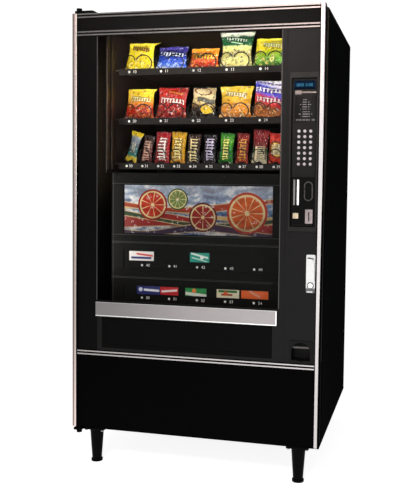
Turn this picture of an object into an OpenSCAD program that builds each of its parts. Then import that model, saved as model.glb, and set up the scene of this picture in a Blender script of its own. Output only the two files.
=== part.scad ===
// Combo snack and can vending machine, in millimetres, +Z up.
// The origin is on the floor under the middle of the machine, and the front faces -Y.

/* [Overall] */
// Width over the bright edge trims and the cabinet sides
overall_w = 1016; // [960:1:1200]
// Depth from the face of the edge trims to the back panel
overall_d = 925; // [880:1:1100]
// Height of the cabinet roof above the floor
roof_h = 1829; // [1810:1:1950]

/* [Cabinet] */
// Thickness of the insulated sides, roof and back
wall_t = 25; // [15:1:40]
// Corner radius of the cabinet edges
corner_r = 8; // [2:1:14]
// Thickness of the base pan
pan_t = 6; // [3:0.5:10]
// Setback of the base pan behind the face of the door
sill_in = 20; // [12:1:30]
// Ventilation slots in one column of the back panel
vent_rows = 9; // [4:1:12]
// Length of one ventilation slot
vent_w = 260; // [120:5:340]
// Height of one ventilation slot
vent_h = 9; // [5:1:14]
// Spacing of the ventilation slots
vent_pitch = 26; // [20:1:30]
// Diameter of the mains lead's hole in the back panel
lead_hole_d = 24; // [12:1:40]

/* [Legs] */
// Height of the base pan's underside above the floor
leg_h = 146; // [120:1:200]
// Distance of the leg centres from the cabinet sides
leg_in_x = 84; // [80:1:140]
// Distance of the leg centres from the front and back of the machine
leg_in_y = 58; // [57:1:110]
// Diameter of a leg at its foot
leg_foot_d = 39; // [30:1:44]
// Diameter of a leg under its flange
leg_top_d = 57; // [46:1:58]
// Diameter of the glide under a leg
glide_d = 47; // [45:1:60]
// Height of the glide
glide_h = 9; // [5:1:14]
// Size of a leg's flange along the front
flange_w = 90; // [86:1:110]
// Size of a leg's flange along the side
flange_d = 74; // [72:1:76]
// Thickness of a leg's flange
flange_t = 8; // [5:1:12]
// Diameter of the leg bolts
leg_bolt_d = 9; // [6:0.5:10]

/* [Door] */
// Thickness of the door with its trims
door_t = 80; // [70:1:95]
// Gap between the door and the cabinet front
door_gap = 6; // [5:0.5:10]
// Gap above and below the door
door_gap_z = 3; // [2:0.5:6]
// Sheet thickness of the door skins
skin_t = 2.5; // [1.5:0.5:4]
// Width of the folded lips at the back of the door
lip_w = 16; // [10:1:24]
// Width of the hinge side of the door, to the window
hinge_side_w = 106; // [80:1:130]
// Width of the lock side of the door, to the window
lock_side_w = 164; // [160:1:190]
// Height of the door header, to the window
header_h = 90; // [85:1:120]
// Height of the kick panel
kick_h = 320; // [300:1:360]
// Height of the delivery mouth's surround
mouth_h = 137; // [125:1:150]
// Height of the rail behind the delivery bar
rail_h = 68; // [64:1:80]
// Thickness of the window glass
glass_t = 6; // [3:0.5:8]
// Overlap of the glass behind the skins
glass_lap = 10; // [6:1:12]

/* [Hinge] */
// Distance of the hinge axis from the hinge edge of the door
hinge_in_x = 22; // [20:1:24]
// Distance of the hinge axis behind the face of the edge trims
hinge_in_y = 20; // [20:0.5:22]
// Diameter of the hinge pins
hinge_pin_d = 12; // [8:1:13]
// Depth of a hinge pin in the door
hinge_pin_l = 26; // [16:1:40]
// Thickness of the hinge brackets
bracket_t = 8; // [5:1:10]
// Width of the top hinge bracket
bracket_w = 80; // [50:1:100]

/* [Trims] */
// Depth of the edge trims in front of the door skins
trim_t = 10; // [9:0.5:12]
// Width of an edge trim
edge_w = 20; // [14:1:21]
// Depth of an edge trim's leg round the door's edge
edge_wrap = 20; // [10:1:40]
// Thickness of an edge trim's leg
edge_leg_t = 3; // [2:0.5:4]
// Height of one rib of a cross trim
rib_h = 5; // [3:0.5:6]
// Spacing of the two ribs of a cross trim
rib_pitch = 12; // [9:0.5:14]
// Depth of the ribs
rib_t = 6.5; // [4:0.5:8]

/* [Delivery] */
// Height of the bright delivery bar
bar_h = 57; // [40:1:58]
// Depth of the delivery bar
bar_t = 7.5; // [4:0.5:8.5]
// Width of the cheek on each side of the delivery flap
cheek_w = 22; // [14:1:30]
// Thickness of the delivery flap
flap_t = 10; // [8:0.5:10]
// Diameter of the delivery flap's pivot pins
flap_pin_d = 7; // [4:0.5:7.5]
// Depth of the delivery bin behind the door skins
bin_d = 190; // [150:1:200]
// Wall thickness of the delivery bin
bin_wall = 3; // [2:0.5:4]

/* [Selector] */
// Width of the selector bezel
bezel_w = 108; // [106:1:112]
// Height of the selector bezel
bezel_h = 594; // [580:1:620]
// Distance of the bezel's top below the top of the window
bezel_drop = 161; // [120:1:200]
// Width of the bezel's rim
bezel_rim = 6; // [4:0.5:6.5]
// Depth of the bezel in front of the door skin
bezel_proud = 5.5; // [3:0.5:8]
// Depth of the bezel's recess behind the door skin
bezel_recess = 6; // [4:0.5:10]
// Floor thickness of the bezel
bezel_floor = 3; // [2:0.5:4]
// Width of the shadow gap round the bezel's floor
shadow_gap_w = 4; // [2:0.5:4.5]
// Depth of the shadow gap
shadow_gap_d = 1.5; // [0.5:0.25:1.5]
// Width of the display lens
lens_w = 80; // [60:1:84]
// Height of the display lens
lens_h = 32; // [24:1:36]
// Columns of selection keys
key_cols = 3; // [3]
// Rows of selection keys
key_rows = 7; // [7]
// Spacing of the key columns
key_pitch_x = 22.3; // [18:0.1:26]
// Spacing of the key rows
key_pitch_z = 20.6; // [18:0.1:21]
// Diameter of a selection key
key_d = 11; // [8:0.5:14]
// Travel of a selection key
key_travel = 2.5; // [1:0.1:3]

/* [Coin and bill panel] */
// Height of the coin and bill panel
money_h = 180; // [176:1:184]
// Width of the bill slot
bill_slot_w = 7; // [5:0.5:9]
// Height of the bill slot
bill_slot_h = 88; // [80:1:92]
// Width of the bill slot's bright lips
bill_lip_w = 7; // [4:0.5:7]
// Width of the coin return lever's opening
lever_w = 35; // [26:1:35]
// Height of the coin return lever's opening
lever_h = 75; // [60:1:78]
// Width of the coin plate
coin_plate_w = 28; // [24:1:32]
// Height of the coin plate
coin_plate_h = 53; // [46:1:56]
// Width of the coin slot
coin_slot_w = 4; // [3:0.5:5]
// Length of the coin slot
coin_slot_h = 34; // [28:1:36]

/* [Coin cup] */
// Width of the coin cup's frame
cup_w = 89; // [80:1:96]
// Height of the coin cup's frame
cup_h = 84; // [76:1:96]
// Width of the coin cup's opening
cup_open_w = 72; // [60:1:74]
// Height of the coin cup's opening
cup_open_h = 69; // [60:1:70]
// Depth of the coin cup behind the door skin
cup_d = 52; // [36:1:60]

/* [Lock] */
// Width of the lock plate
lock_w = 34; // [32:1:36]
// Height of the lock plate
lock_h = 145; // [135:1:160]
// Distance of the lock plate below the bezel
lock_drop = 88; // [60:1:120]
// Length of the swing handle below its pivot
handle_l = 78; // [66:1:79]
// Width of the swing handle
handle_w = 30; // [24:1:31]
// Thickness of the swing handle
handle_t = 5; // [4:0.25:5.25]
// Diameter of the lock's shaft
lock_shaft_d = 10; // [6:0.5:12]
// Diameter of the key cylinder
cylinder_d = 19; // [14:0.5:20]

/* [Trays] */
// Width of one chip lane
lane_w = 140; // [136:1:142]
// Chip lanes on a tray
chip_lanes = 5; // [3:1:5]
// Candy lanes in the width of one chip lane
candy_split = 2; // [2]
// Setback of the tray fronts behind the face of the door
tray_in = 170; // [160:1:185]
// Depth of a tray
tray_d = 524; // [480:1:540]
// Sheet thickness of the trays
tray_t = 2; // [1:0.5:3]
// Height of the price rail under a tray's front edge
price_h = 26; // [20:1:32]
// Height of the lane dividers and tray sides
divider_h = 48; // [30:1:60]
// Thickness of a lane divider
divider_t = 1.5; // [1:0.25:2.5]
// Setback of the dividers behind a tray's front edge, so that they start beside the first packs
divider_in = 62; // [50:1:80]
// Height of a tray's back wall
tray_back_h = 66; // [64:1:80]
// Floor of the top tray, below the cabinet roof
tray_drop = 199; // [195:1:215]
// Spacing of the first and second trays
tray_step_1 = 204; // [195:1:215]
// Spacing of the second and third trays
tray_step_2 = 187; // [180:1:200]
// Gap between a tray and the wall of its bay
rail_gap = 22; // [14:1:30]
// Sheet thickness of the bay walls and tray rails
bay_t = 3; // [2:0.5:4]

/* [Coils] */
// Diameter of the vending coils at the middle of the wire
coil_d = 57; // [54:0.5:57.5]
// Diameter of the coil wire
wire_d = 4.5; // [4:0.25:5]
// Turns of one coil
coil_turns = 2.75; // [2:0.25:3]
// Spacing of the two coils of a chip lane
coil_pair = 62.5; // [62:0.5:64]
// Diameter of the coil hubs
hub_d = 60; // [58:1:61]
// Thickness of the coil hubs
hub_t = 12; // [8:1:16]
// Diameter of the motor shafts
shaft_d = 10; // [6:0.5:12]
// Depth of a coil motor
motor_d = 58; // [40:1:70]
// Height of a coil motor
motor_h = 46; // [36:1:60]

/* [Stock] */
// Width of a snack bag
bag_w = 132; // [100:1:136]
// Thickness of a snack bag
bag_t = 30; // [20:1:32]
// Width of the widest candy bar
bar_pack_w = 58; // [52:1:58]
// Thickness of a candy bar
bar_pack_t = 16; // [10:1:17]
// Height of a pack's pressed seals
seal_h = 9; // [6:0.5:12]
// Thickness of a pack's pressed seals
seal_t = 1.2; // [0.8:0.1:2]

/* [Can section] */
// Gap between the candy tray's floor and the top of the can panel
can_drop = 41; // [38:1:50]
// Wall thickness of the can cooler
cooler_wall = 30; // [20:1:40]
// Thickness of the can panel
can_panel_t = 22; // [18:1:24]
// Width of the picture recess
picture_w = 640; // [560:1:660]
// Height of the picture recess
picture_h = 208; // [180:1:220]
// Height of a card row's recess
card_row_h = 82; // [70:1:86]

/* [Units inside] */
// Diameter of the compressor's shell
compressor_d = 170; // [120:1:200]
// Height of the compressor's shell
compressor_h = 190; // [150:1:240]
// Width of the condenser
condenser_w = 300; // [200:5:340]
// Height of the condenser
condenser_h = 260; // [180:5:300]
// Depth of the condenser
condenser_d = 70; // [50:1:100]
// Diameter of the lamp tube
lamp_d = 26; // [16:1:32]
// Length of the lamp tube
lamp_l = 900; // [600:10:960]

/* [Clearances] */
// Radial running clearance of pins, shafts and cylinders
run_gap = 0.05; // [0.02:0.01:0.1]
// Clearance of a piece dropped into an opening
fit_gap = 0.4; // [0.2:0.05:0.6]
// Clearance of the stock above the tray floors
rest_gap = 0.3; // [0.2:0.05:0.5]
// Clearance round the delivery flap
flap_gap = 1.5; // [1:0.1:2]

/* [Hidden] */
$fn = 64;
cut = 1;
key_names = [for (r = [1:key_rows]) for (c = [1:key_cols]) str("key_", r, "_", c)];

// Cabinet box
half_w = overall_w / 2;
front_y = -overall_d / 2;
back_y = overall_d / 2;
skin_y = front_y + trim_t;
skin_back = skin_y + skin_t;
door_back = front_y + door_t;
cab_y = door_back + door_gap;
cab_z = leg_h + pan_t;
sill_y = front_y + sill_in;
inner_x = half_w - wall_t;
ceiling_z = roof_h - wall_t;
back_in = back_y - wall_t;
vent_z = cab_z + 60;
vent_x = 30;
lead_x = inner_x - 70;

// Legs
leg_x = half_w - leg_in_x;
leg_y = overall_d / 2 - leg_in_y;
fillet_r = (flange_d - leg_top_d) / 2;
leg_top = leg_h - flange_t;
bolt_x = flange_w / 2 - leg_bolt_d;
bolt_y = flange_d / 2 - leg_bolt_d;

// Door grid
door_z0 = cab_z + door_gap_z;
door_z1 = roof_h - door_gap_z;
frame_x = half_w - edge_leg_t;
win_x0 = -half_w + hinge_side_w;
win_x1 = half_w - lock_side_w;
win_mid = (win_x0 + win_x1) / 2;
win_z1 = door_z1 - header_h;
kick_z = door_z0 + kick_h;
mouth_z = kick_z + mouth_h;
win_z0 = mouth_z + rail_h;
glass_room = 4;
header_box_z = win_z1 + glass_lap + glass_room;
stile_wall_x = win_x1 + glass_lap + glass_room;
glass_foot = 12;

// Hinge
hinge_x = -half_w + hinge_in_x;
hinge_y = front_y + hinge_in_y;
hinge_boss_d = hinge_pin_d + 6;
bracket_y = front_y + 4;
bracket_back = cab_y + 76;
head_d = hinge_pin_d + 10;
head_h = 12;
notch_x = hinge_x + hinge_boss_d;
notch_y = hinge_y + hinge_boss_d;
foot_bracket_x = -leg_x - flange_w / 2 - cut;

// Trims
edge_r = 4;
cross_h = rib_pitch + rib_h;
cross_base = 2.5;
top_trim_z = door_z1 - cross_h / 2;
head_trim_z = win_z1 + 3 + cross_h / 2;
kick_trim_z = kick_z - 3 - cross_h / 2;

// Delivery mouth
flap_x0 = win_x0 + cheek_w;
flap_x1 = win_x1 - cheek_w - 2;
flap_axis_y = skin_y + flap_t / 2;
flap_axis_z = mouth_z - 2 - flap_t / 2 - flap_gap;
flap_foot_z = kick_z + 12 + flap_gap;
flap_pin_l = 4;
bin_x0 = flap_x0 - flap_gap;
bin_x1 = flap_x1 + flap_gap;
bin_back = skin_y + bin_d;
bin_z0 = kick_z + 8;
bin_top = win_z0 - glass_foot - 4;
bin_low_top = mouth_z + 14;
bin_slope_y = front_y + tray_in - can_panel_t - 20;
bin_chamfer = 40;

// Selector bezel
bezel_x1 = half_w - edge_w - 2;
bezel_x0 = bezel_x1 - bezel_w;
bezel_mid = (bezel_x0 + bezel_x1) / 2;
bezel_z1 = win_z1 - bezel_drop;
bezel_z0 = bezel_z1 - bezel_h;
floor_y = skin_y + bezel_recess;
floor_back = floor_y + bezel_floor;
tub_wall = 2.5;
tub_x0 = bezel_x0 + bezel_rim;
tub_x1 = bezel_x1 - bezel_rim;
tub_z0 = bezel_z0 + bezel_rim + 10;
tub_z1 = bezel_z1 - bezel_rim - 14;
lens_z = tub_z1 - 10 - lens_h / 2;
key_z1 = tub_z1 - 198;
key_rest = 2;
key_front = floor_y - key_travel - key_rest;
key_flange_t = 1.6;
money_z0 = tub_z0 + 8;
money_z1 = money_z0 + money_h;
money_x0 = tub_x0 + 5;
money_x1 = tub_x1 - 2;
money_front = floor_y - 3;

// Coin and bill openings
bill_x = money_x0 + 18;
bill_z = money_z1 - 14 - bill_slot_h / 2;
lever_x = money_x1 - 8 - lever_w / 2;
lever_z0 = money_z1 - 16 - lever_h;
lever_z1 = lever_z0 + lever_h;
lever_axis_z = lever_z1 - lever_w / 2;
lever_axis_y = money_front + 3;
lever_t = 5;
lever_gap = 0.8;
lever_pin_d = 3.2;
lever_pin_l = 2;
dish_d = 0.8;
dish_rim = 4;
coin_x = money_x1 - 8 - coin_plate_w / 2;
coin_z = money_z0 + 5 + coin_plate_h / 2;
coin_plate_t = 3;
lip_t = 7;
lip_over = 4;
pilot_x = bill_x - 2;
pilot_z = coin_z + 2;
pilot_w = 22;

// Coin cup
cup_x = bezel_mid + 2;
cup_z0 = kick_z + 4;
cup_rim_t = 3;
cup_wall = 2;
cup_sill = (cup_w - cup_open_w) / 2;
baffle_h = 10;

// Lock
lock_x = bezel_x1 - lock_w / 2 - 2;
lock_z1 = bezel_z0 - lock_drop;
lock_z0 = lock_z1 - lock_h;
lock_plate_t = 2;
lock_face = skin_y - lock_plate_t;
rotor_z = lock_z1 - 25;
rotor_t = 2;
rotor_d = 32;
rotor_face = lock_face - rotor_t - 0.3;
ear_x = 11;
ear_w = 3;
ear_rise = 10;
handle_axis_z = rotor_z + ear_rise;
handle_axis_y = rotor_face - 0.3 - handle_t / 2;
handle_pin_d = 2.4;
neck_w = 2 * (ear_x - ear_w - 0.4);
shaft_len = 26;
cam_t = 4;
cam_l = 30;
cylinder_z = lock_z0 + 28;
cylinder_out = 3;
cylinder_in = 16;
keyway = [2, 9, 2];

// Trays and bay
tray_w = lane_w * chip_lanes;
tray_x0 = win_mid - tray_w / 2;
tray_x1 = win_mid + tray_w / 2;
tray_y0 = front_y + tray_in;
tray_y1 = tray_y0 + tray_d;
tray_z = [
    roof_h - tray_drop,
    roof_h - tray_drop - tray_step_1,
    roof_h - tray_drop - tray_step_1 - tray_step_2
];
candy_lanes = chip_lanes * candy_split;
candy_w = lane_w / candy_split;
bay_x0 = tray_x0 - rail_gap;
bay_x1 = tray_x1 + rail_gap;
rail_w = rail_gap + 12;
rail_inset = 14;
can_z1 = tray_z[2] - can_drop;
can_z0 = win_z0 - 44;
bay_y0 = cab_y + 10;

// Coils
coil_r = coil_d / 2;
wire_r = wire_d / 2;
coil_axis = rest_gap + coil_r + wire_r;
coil_y0 = tray_y0 + 8;
hub_y = tray_y1 - tray_t - hub_t - 6;
coil_rings = 8;
wire_sides = 6;
coil_steps = round(coil_turns * coil_rings);
coil_run = hub_y - coil_y0 - 2 * wire_d;
motor_w = 52;

// Stock: a pack stands where the wire passes its outer side
bag_heights = [[114, 94, 84, 146, 116], [126, 130, 126, 130, 150]];
bar_heights = [126, 114, 130, 130, 120, 118, 124, 124, 138, 124];
bar_narrower = [18, 16, 0, 0, 10, 12, 4, 12, 2, 2];
pack_turn = 0.25;
pack_y = coil_y0 + coil_run * pack_turn / coil_turns;
pack_swell = 1.1;
lens_fn = 480;
bite_gap = 4;
bite_d = 16;
bite_x = coil_pair / 2 + coil_r - wire_r - bite_gap + bite_d / 2;
bar_room = coil_r - wire_r - 1.25;

// Can section
cooler_y0 = tray_y0 + 2;
panel_y0 = cooler_y0 - can_panel_t;
skirt_y = cooler_y0 + 90;
picture_t = 6;
picture_x0 = win_mid - picture_w / 2;
picture_z1 = can_z1 - 48;
picture_z0 = picture_z1 - picture_h;
card_z = [picture_z0 - 66 - card_row_h, picture_z0 - 66 - card_row_h * 2 - 68];
card_depth = 4;
seam_w = 3;
seam_d = 5;

// Units inside
deck_t = 4;
deck_y0 = skirt_y + 20;
compressor_x = win_mid - 190;
compressor_y = 120;
fin_pitch = 12;
fin_t = 2;
fin_d = 10;
control_z0 = tray_z[1] - 80;
control_size = [72, 300, 320];
unit_gap = 8;
changer_in = 56;
changer_drop = 110;
changer_head = 20;
changer_x = [max(win_x1 + glass_lap, bay_x1 + bay_t + unit_gap), half_w - changer_in];
changer_d = 112;
changer_z = [lock_z0 - changer_drop, bezel_z0 - changer_head];
tube_d = 26;
tube_in = 20;
tube_gap = 5;
tube_pitch = tube_d + tube_gap;
tube_count = floor((changer_x[1] - changer_x[0] - tube_in - tube_d / 2) / tube_pitch) + 1;
tube_head = 120;
tube_h = changer_z[1] - changer_z[0] - tube_in - tube_head;
validator_h = 140;
validator_z = [bill_z - validator_h / 2, bill_z + validator_h / 2];
validator_d = 128;
lamp_in_x = 40;
lamp_in_y = 37;
lamp_x = win_x0 - lamp_in_x;
lamp_y = skin_y + lamp_in_y;
lamp_mid_z = (win_z0 + win_z1) / 2;
holder_w = 34;
holder_h = 40;

function lane_x(i, w) = tray_x0 + (i + 0.5) * w;
function key_x(c) = bezel_mid + (c - (key_cols + 1) / 2) * key_pitch_x + 3;
function key_z(r) = key_z1 - (r - 1) * key_pitch_z;
function lens_radius(w, t) = (w * w + t * t) / (4 * t);

// Points of one coil about its own axis, along +Y, starting at start degrees
function coil_angle(k, hand, start) = start + hand * 360 * k / coil_rings;
function coil_y(k) = coil_run * k / coil_steps;
function coil_centre(k, hand, start) =
    let (a = coil_angle(k, hand, start))
    [coil_r * cos(a), coil_y(k), coil_r * sin(a)];
function coil_tangent(k, hand, start) =
    let (a = coil_angle(k, hand, start))
    let (spin = hand * coil_r * 2 * PI * coil_steps / coil_rings / coil_run)
    let (t = [-spin * sin(a), 1, spin * cos(a)])
    t / norm(t);
function wire_ring(centre, out, along) =
    let (side = cross(along, out))
    [for (j = [0:wire_sides - 1])
        centre + wire_r * (cos(360 * j / wire_sides) * out + sin(360 * j / wire_sides) * side)];
function coil_out(k, hand, start) =
    let (a = coil_angle(k, hand, start))
    [cos(a), 0, sin(a)];
function coil_points(hand, start) =
    let (out = coil_out(coil_steps, hand, start))
    let (last = coil_centre(coil_steps, hand, start))
    concat(
        [for (k = [0:coil_steps])
            let (out_k = coil_out(k, hand, start))
            each wire_ring(coil_centre(k, hand, start), out_k, coil_tangent(k, hand, start))],
        [for (step = [1, 2]) each wire_ring(last + [0, step * wire_d, 0], out, [0, 1, 0])]
    );
// Each side of the tube is two triangles, split along the diagonal that follows the coil's hand
function tube_faces(rings, n, hand) = concat(
    [for (k = [0:rings - 2]) for (j = [0:n - 1])
        let (a = k * n + j)
        let (b = k * n + (j + 1) % n)
        each hand > 0
            ? [[a, b, b + n], [a, b + n, a + n]]
            : [[a, b, a + n], [b, b + n, a + n]]],
    [for (j = [1:n - 2]) [0, j + 1, j]],
    let (last = (rings - 1) * n)
    [for (j = [1:n - 2]) [last, last + j, last + j + 1]]
);

// Least distance between wires of one coil, three quarters of a turn or more apart
coil_gap = min([
    for (a = [0:coil_steps])
        for (b = [a + coil_rings * 3 / 4:1:coil_steps])
            norm(coil_centre(a, 1, 0) - coil_centre(b, 1, 0))
]) - wire_d;
echo(least_gap_in_a_coil = coil_gap);

module box(lo, hi) {
    translate(lo) cube(hi - lo);
}

// Rounded rectangle in the plane, from corner lo to corner hi
module rounded(lo, hi, r) {
    translate([lo[0] + r, lo[1]]) square([hi[0] - lo[0] - 2 * r, hi[1] - lo[1]]);
    translate([lo[0], lo[1] + r]) square([hi[0] - lo[0], hi[1] - lo[1] - 2 * r]);
    for (x = [lo[0] + r, hi[0] - r])
        for (z = [lo[1] + r, hi[1] - r])
            translate([x, z]) circle(r);
}

// Upright plate drawn in X and Z, from y0 to y1
module upright(y0, y1) {
    translate([0, y1, 0]) rotate([90, 0, 0]) linear_extrude(y1 - y0) children();
}

// Bar drawn in Y and Z, from x0 to x1
module along_x(x0, x1) {
    translate([x0, 0, 0]) rotate([90, 0, 90]) linear_extrude(x1 - x0) children();
}

module pin_x(x0, x1, y, z, d) {
    translate([x0, y, z]) rotate([0, 90, 0]) cylinder(h = x1 - x0, d = d);
}

module pin_y(y0, y1, x, z, d) {
    translate([x, y1, z]) rotate([90, 0, 0]) cylinder(h = y1 - y0, d = d);
}

// Folded sheet box, open at the back inside its lips
module door_pan(x0, x1, z0, z1) {
    difference() {
        box([x0, skin_y, z0], [x1, door_back, z1]);
        box([x0 + skin_t, skin_back, z0 + skin_t], [x1 - skin_t, door_back - skin_t, z1 - skin_t]);
        box([x0 + lip_w, skin_back, z0 + lip_w], [x1 - lip_w, door_back + cut, z1 - lip_w]);
    }
}

module side_panels() {
    color([0.09, 0.09, 0.1])
        translate([0, 0, cab_z])
            linear_extrude(ceiling_z - cab_z)
                difference() {
                    rounded([-half_w, cab_y], [half_w, back_y], corner_r);
                    translate([-inner_x, cab_y - cut]) square([2 * inner_x, back_y - cab_y + 2 * cut]);
                }
}

module top_panel() {
    color([0.1, 0.1, 0.11])
        translate([0, 0, ceiling_z])
            linear_extrude(wall_t) rounded([-half_w, cab_y], [half_w, back_y], corner_r);
}

module back_panel() {
    color([0.12, 0.12, 0.13])
        difference() {
            box([-inner_x, back_in, cab_z], [inner_x, back_y, ceiling_z]);
            for (side = [-1, 1])
                for (i = [0:vent_rows - 1])
                    translate([side * (vent_x + vent_w / 2), 0, vent_z + i * vent_pitch])
                        upright(back_in - cut, back_y + cut)
                            rounded([-vent_w / 2, 0], [vent_w / 2, vent_h], vent_h / 2 - 0.01);
            pin_y(back_in - cut, back_y + cut, lead_x, vent_z, lead_hole_d);
        }
}

module base_pan() {
    color([0.08, 0.08, 0.08])
        difference() {
            box([-half_w, sill_y, leg_h], [half_w, back_y, cab_z]);
            box([-half_w - cut, sill_y - cut, leg_h - cut], [notch_x, notch_y, cab_z + cut]);
        }
}

module leg() {
    cylinder(h = glide_h, d = glide_d);
    translate([0, 0, glide_h])
        cylinder(h = leg_top - glide_h, d1 = leg_foot_d, d2 = leg_top_d);
    rotate_extrude()
        difference() {
            translate([0, leg_top - fillet_r]) square([leg_top_d / 2 + fillet_r, fillet_r]);
            translate([leg_top_d / 2 + fillet_r, leg_top - fillet_r]) circle(fillet_r);
        }
    translate([0, 0, leg_top])
        linear_extrude(flange_t)
            difference() {
                rounded([-flange_w / 2, -flange_d / 2], [flange_w / 2, flange_d / 2], corner_r);
                for (sx = [-1, 1])
                    for (sy = [-1, 1])
                        translate([sx * bolt_x, sy * bolt_y]) circle(d = leg_bolt_d);
            }
}

module legs() {
    color([0.05, 0.05, 0.05])
        for (sx = [-1, 1])
            for (sy = [-1, 1])
                translate([sx * leg_x, sy * leg_y, 0]) leg();
}

module hinge_brackets() {
    color([0.06, 0.06, 0.06]) {
        translate([0, 0, roof_h])
            linear_extrude(bracket_t)
                rounded([-half_w + 8, bracket_y], [-half_w + 8 + bracket_w, bracket_back], 6);
        translate([hinge_x, hinge_y, door_z1 - hinge_pin_l]) {
            cylinder(h = roof_h - door_z1 + hinge_pin_l + bracket_t, d = hinge_pin_d);
            translate([0, 0, roof_h - door_z1 + hinge_pin_l + bracket_t]) cylinder(h = head_h, d = head_d);
        }
        translate([0, 0, leg_h - bracket_t])
            linear_extrude(bracket_t)
                rounded([-half_w + 2, bracket_y], [foot_bracket_x, notch_y + 40], 6);
        translate([hinge_x, hinge_y, leg_h - bracket_t])
            cylinder(h = door_z0 - leg_h + bracket_t + hinge_pin_l, d = hinge_pin_d);
        translate([hinge_x, hinge_y, leg_h - bracket_t - head_h]) cylinder(h = head_h, d = head_d);
    }
}

// One wall of the snack bay with a rail for each tray, drawn for the hinge side
module bay_wall() {
    box([bay_x0 - bay_t, bay_y0, can_z1], [bay_x0, tray_y1, ceiling_z]);
    for (z = tray_z)
        box([bay_x0, tray_y0 + rail_inset, z - tray_t - bay_t],
            [bay_x0 + rail_w, tray_y1 - rail_inset, z - tray_t]);
}

module bay_walls() {
    color([0.3, 0.28, 0.26]) {
        bay_wall();
        translate([2 * win_mid, 0, 0]) mirror([1, 0, 0]) bay_wall();
    }
}

// Places children at each coil axis of a tray: sides holds the coils of one lane
module at_coils(z, lanes, w, sides) {
    for (i = [0:lanes - 1])
        for (s = sides)
            translate([lane_x(i, w) + s * coil_pair / 2, 0, z + coil_axis]) children();
}

module tray(z, lanes, w, sides) {
    difference() {
        union() {
            box([tray_x0, tray_y0, z - tray_t], [tray_x1, tray_y1, z]);
            box([tray_x0, tray_y0, z - price_h], [tray_x1, tray_y0 + tray_t, z]);
            box([tray_x0, tray_y0, z - price_h], [tray_x1, tray_y0 + 3 * tray_t, z - price_h + tray_t]);
            box([tray_x0, tray_y1 - tray_t, z], [tray_x1, tray_y1, z + tray_back_h]);
            for (i = [0:lanes])
                let (x = min(max(tray_x0 + i * w - divider_t / 2, tray_x0), tray_x1 - divider_t))
                box([x, tray_y0 + divider_in, z], [x + divider_t, tray_y1, z + divider_h]);
        }
        at_coils(z, lanes, w, sides)
            pin_y(tray_y1 - tray_t - cut, tray_y1 + cut, 0, 0, shaft_d + 2 * run_gap);
    }
}

module snack_trays() {
    color([0.13, 0.13, 0.14]) {
        tray(tray_z[0], chip_lanes, lane_w, [-1, 1]);
        tray(tray_z[1], chip_lanes, lane_w, [-1, 1]);
        tray(tray_z[2], candy_lanes, candy_w, [0]);
    }
}

module coil(hand, start) {
    translate([0, coil_y0, 0])
        polyhedron(coil_points(hand, start), tube_faces(coil_steps + 3, wire_sides, hand));
}

// The two coils of a chip lane are wound in opposite hands and pass the bag on its outer sides
module chip_coils() {
    color([0.25, 0.25, 0.26])
        for (z = [tray_z[0], tray_z[1]])
            for (s = [-1, 1])
                at_coils(z, chip_lanes, lane_w, [s])
                    coil(-s, 90 - s * 90 + s * 360 * pack_turn);
}

module candy_coils() {
    color([0.25, 0.25, 0.26])
        at_coils(tray_z[2], candy_lanes, candy_w, [0]) coil(1, -360 * pack_turn);
}

module motor(sides, w) {
    box([-w / 2, tray_y1, -motor_h / 2], [w / 2, tray_y1 + motor_d, motor_h / 2]);
    for (s = sides) {
        pin_y(hub_y + hub_t - cut, tray_y1 + cut, s * coil_pair / 2, 0, shaft_d);
        pin_y(hub_y, hub_y + hub_t, s * coil_pair / 2, 0, hub_d);
    }
}

module coil_motors() {
    color([0.75, 0.73, 0.68]) {
        for (z = [tray_z[0], tray_z[1]])
            for (i = [0:chip_lanes - 1])
                translate([lane_x(i, lane_w), 0, z + coil_axis]) motor([-1, 1], 2 * motor_w);
        for (i = [0:candy_lanes - 1])
            translate([lane_x(i, candy_w), 0, tray_z[2] + coil_axis]) motor([0], motor_w);
    }
}

// Two arcs, w wide and t thick in the middle, edge thick at the sides
module lens_2d(w, t, edge) {
    r = lens_radius(w, t - edge);
    intersection() {
        translate([0, r - t / 2]) circle(r, $fn = lens_fn);
        translate([0, t / 2 - r]) circle(r, $fn = lens_fn);
        square([w, t + cut], center = true);
    }
}

// Pillow pack standing on z = 0: a lens in plan crossed by a side profile with pressed seals
module pack(w, h, t) {
    intersection() {
        linear_extrude(h) lens_2d(w, t, 2 * seal_t);
        along_x(-w / 2 - cut, w / 2 + cut) {
            translate([-seal_t / 2, 0]) square([seal_t, h]);
            translate([0, h / 2]) rotate(90) lens_2d(h - 2 * seal_h, t * pack_swell, seal_t / 2);
        }
    }
}

// Snack bag, pressed in on both sides by the wires that pass it
module chip_bag(h) {
    difference() {
        pack(bag_w, h, bag_t);
        for (s = [-1, 1]) pin_y(-bag_t, bag_t, s * bite_x, coil_axis - rest_gap, bite_d);
    }
}

module chip_bags() {
    color([0.9, 0.62, 0.12])
        for (row = [0, 1])
            for (i = [0:chip_lanes - 1])
                translate([lane_x(i, lane_w), pack_y, tray_z[row] + rest_gap])
                    chip_bag(bag_heights[row][i]);
}

// Candy bars, set off to the left where they are wider than the room beside the wire
module candy_bars() {
    color([0.7, 0.12, 0.1])
        for (i = [0:candy_lanes - 1])
            let (w = bar_pack_w - bar_narrower[i], off = max(0, w / 2 - bar_room))
            translate([lane_x(i, candy_w) - off, pack_y, tray_z[2] + rest_gap])
                pack(w, bar_heights[i], bar_pack_t);
}

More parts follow.
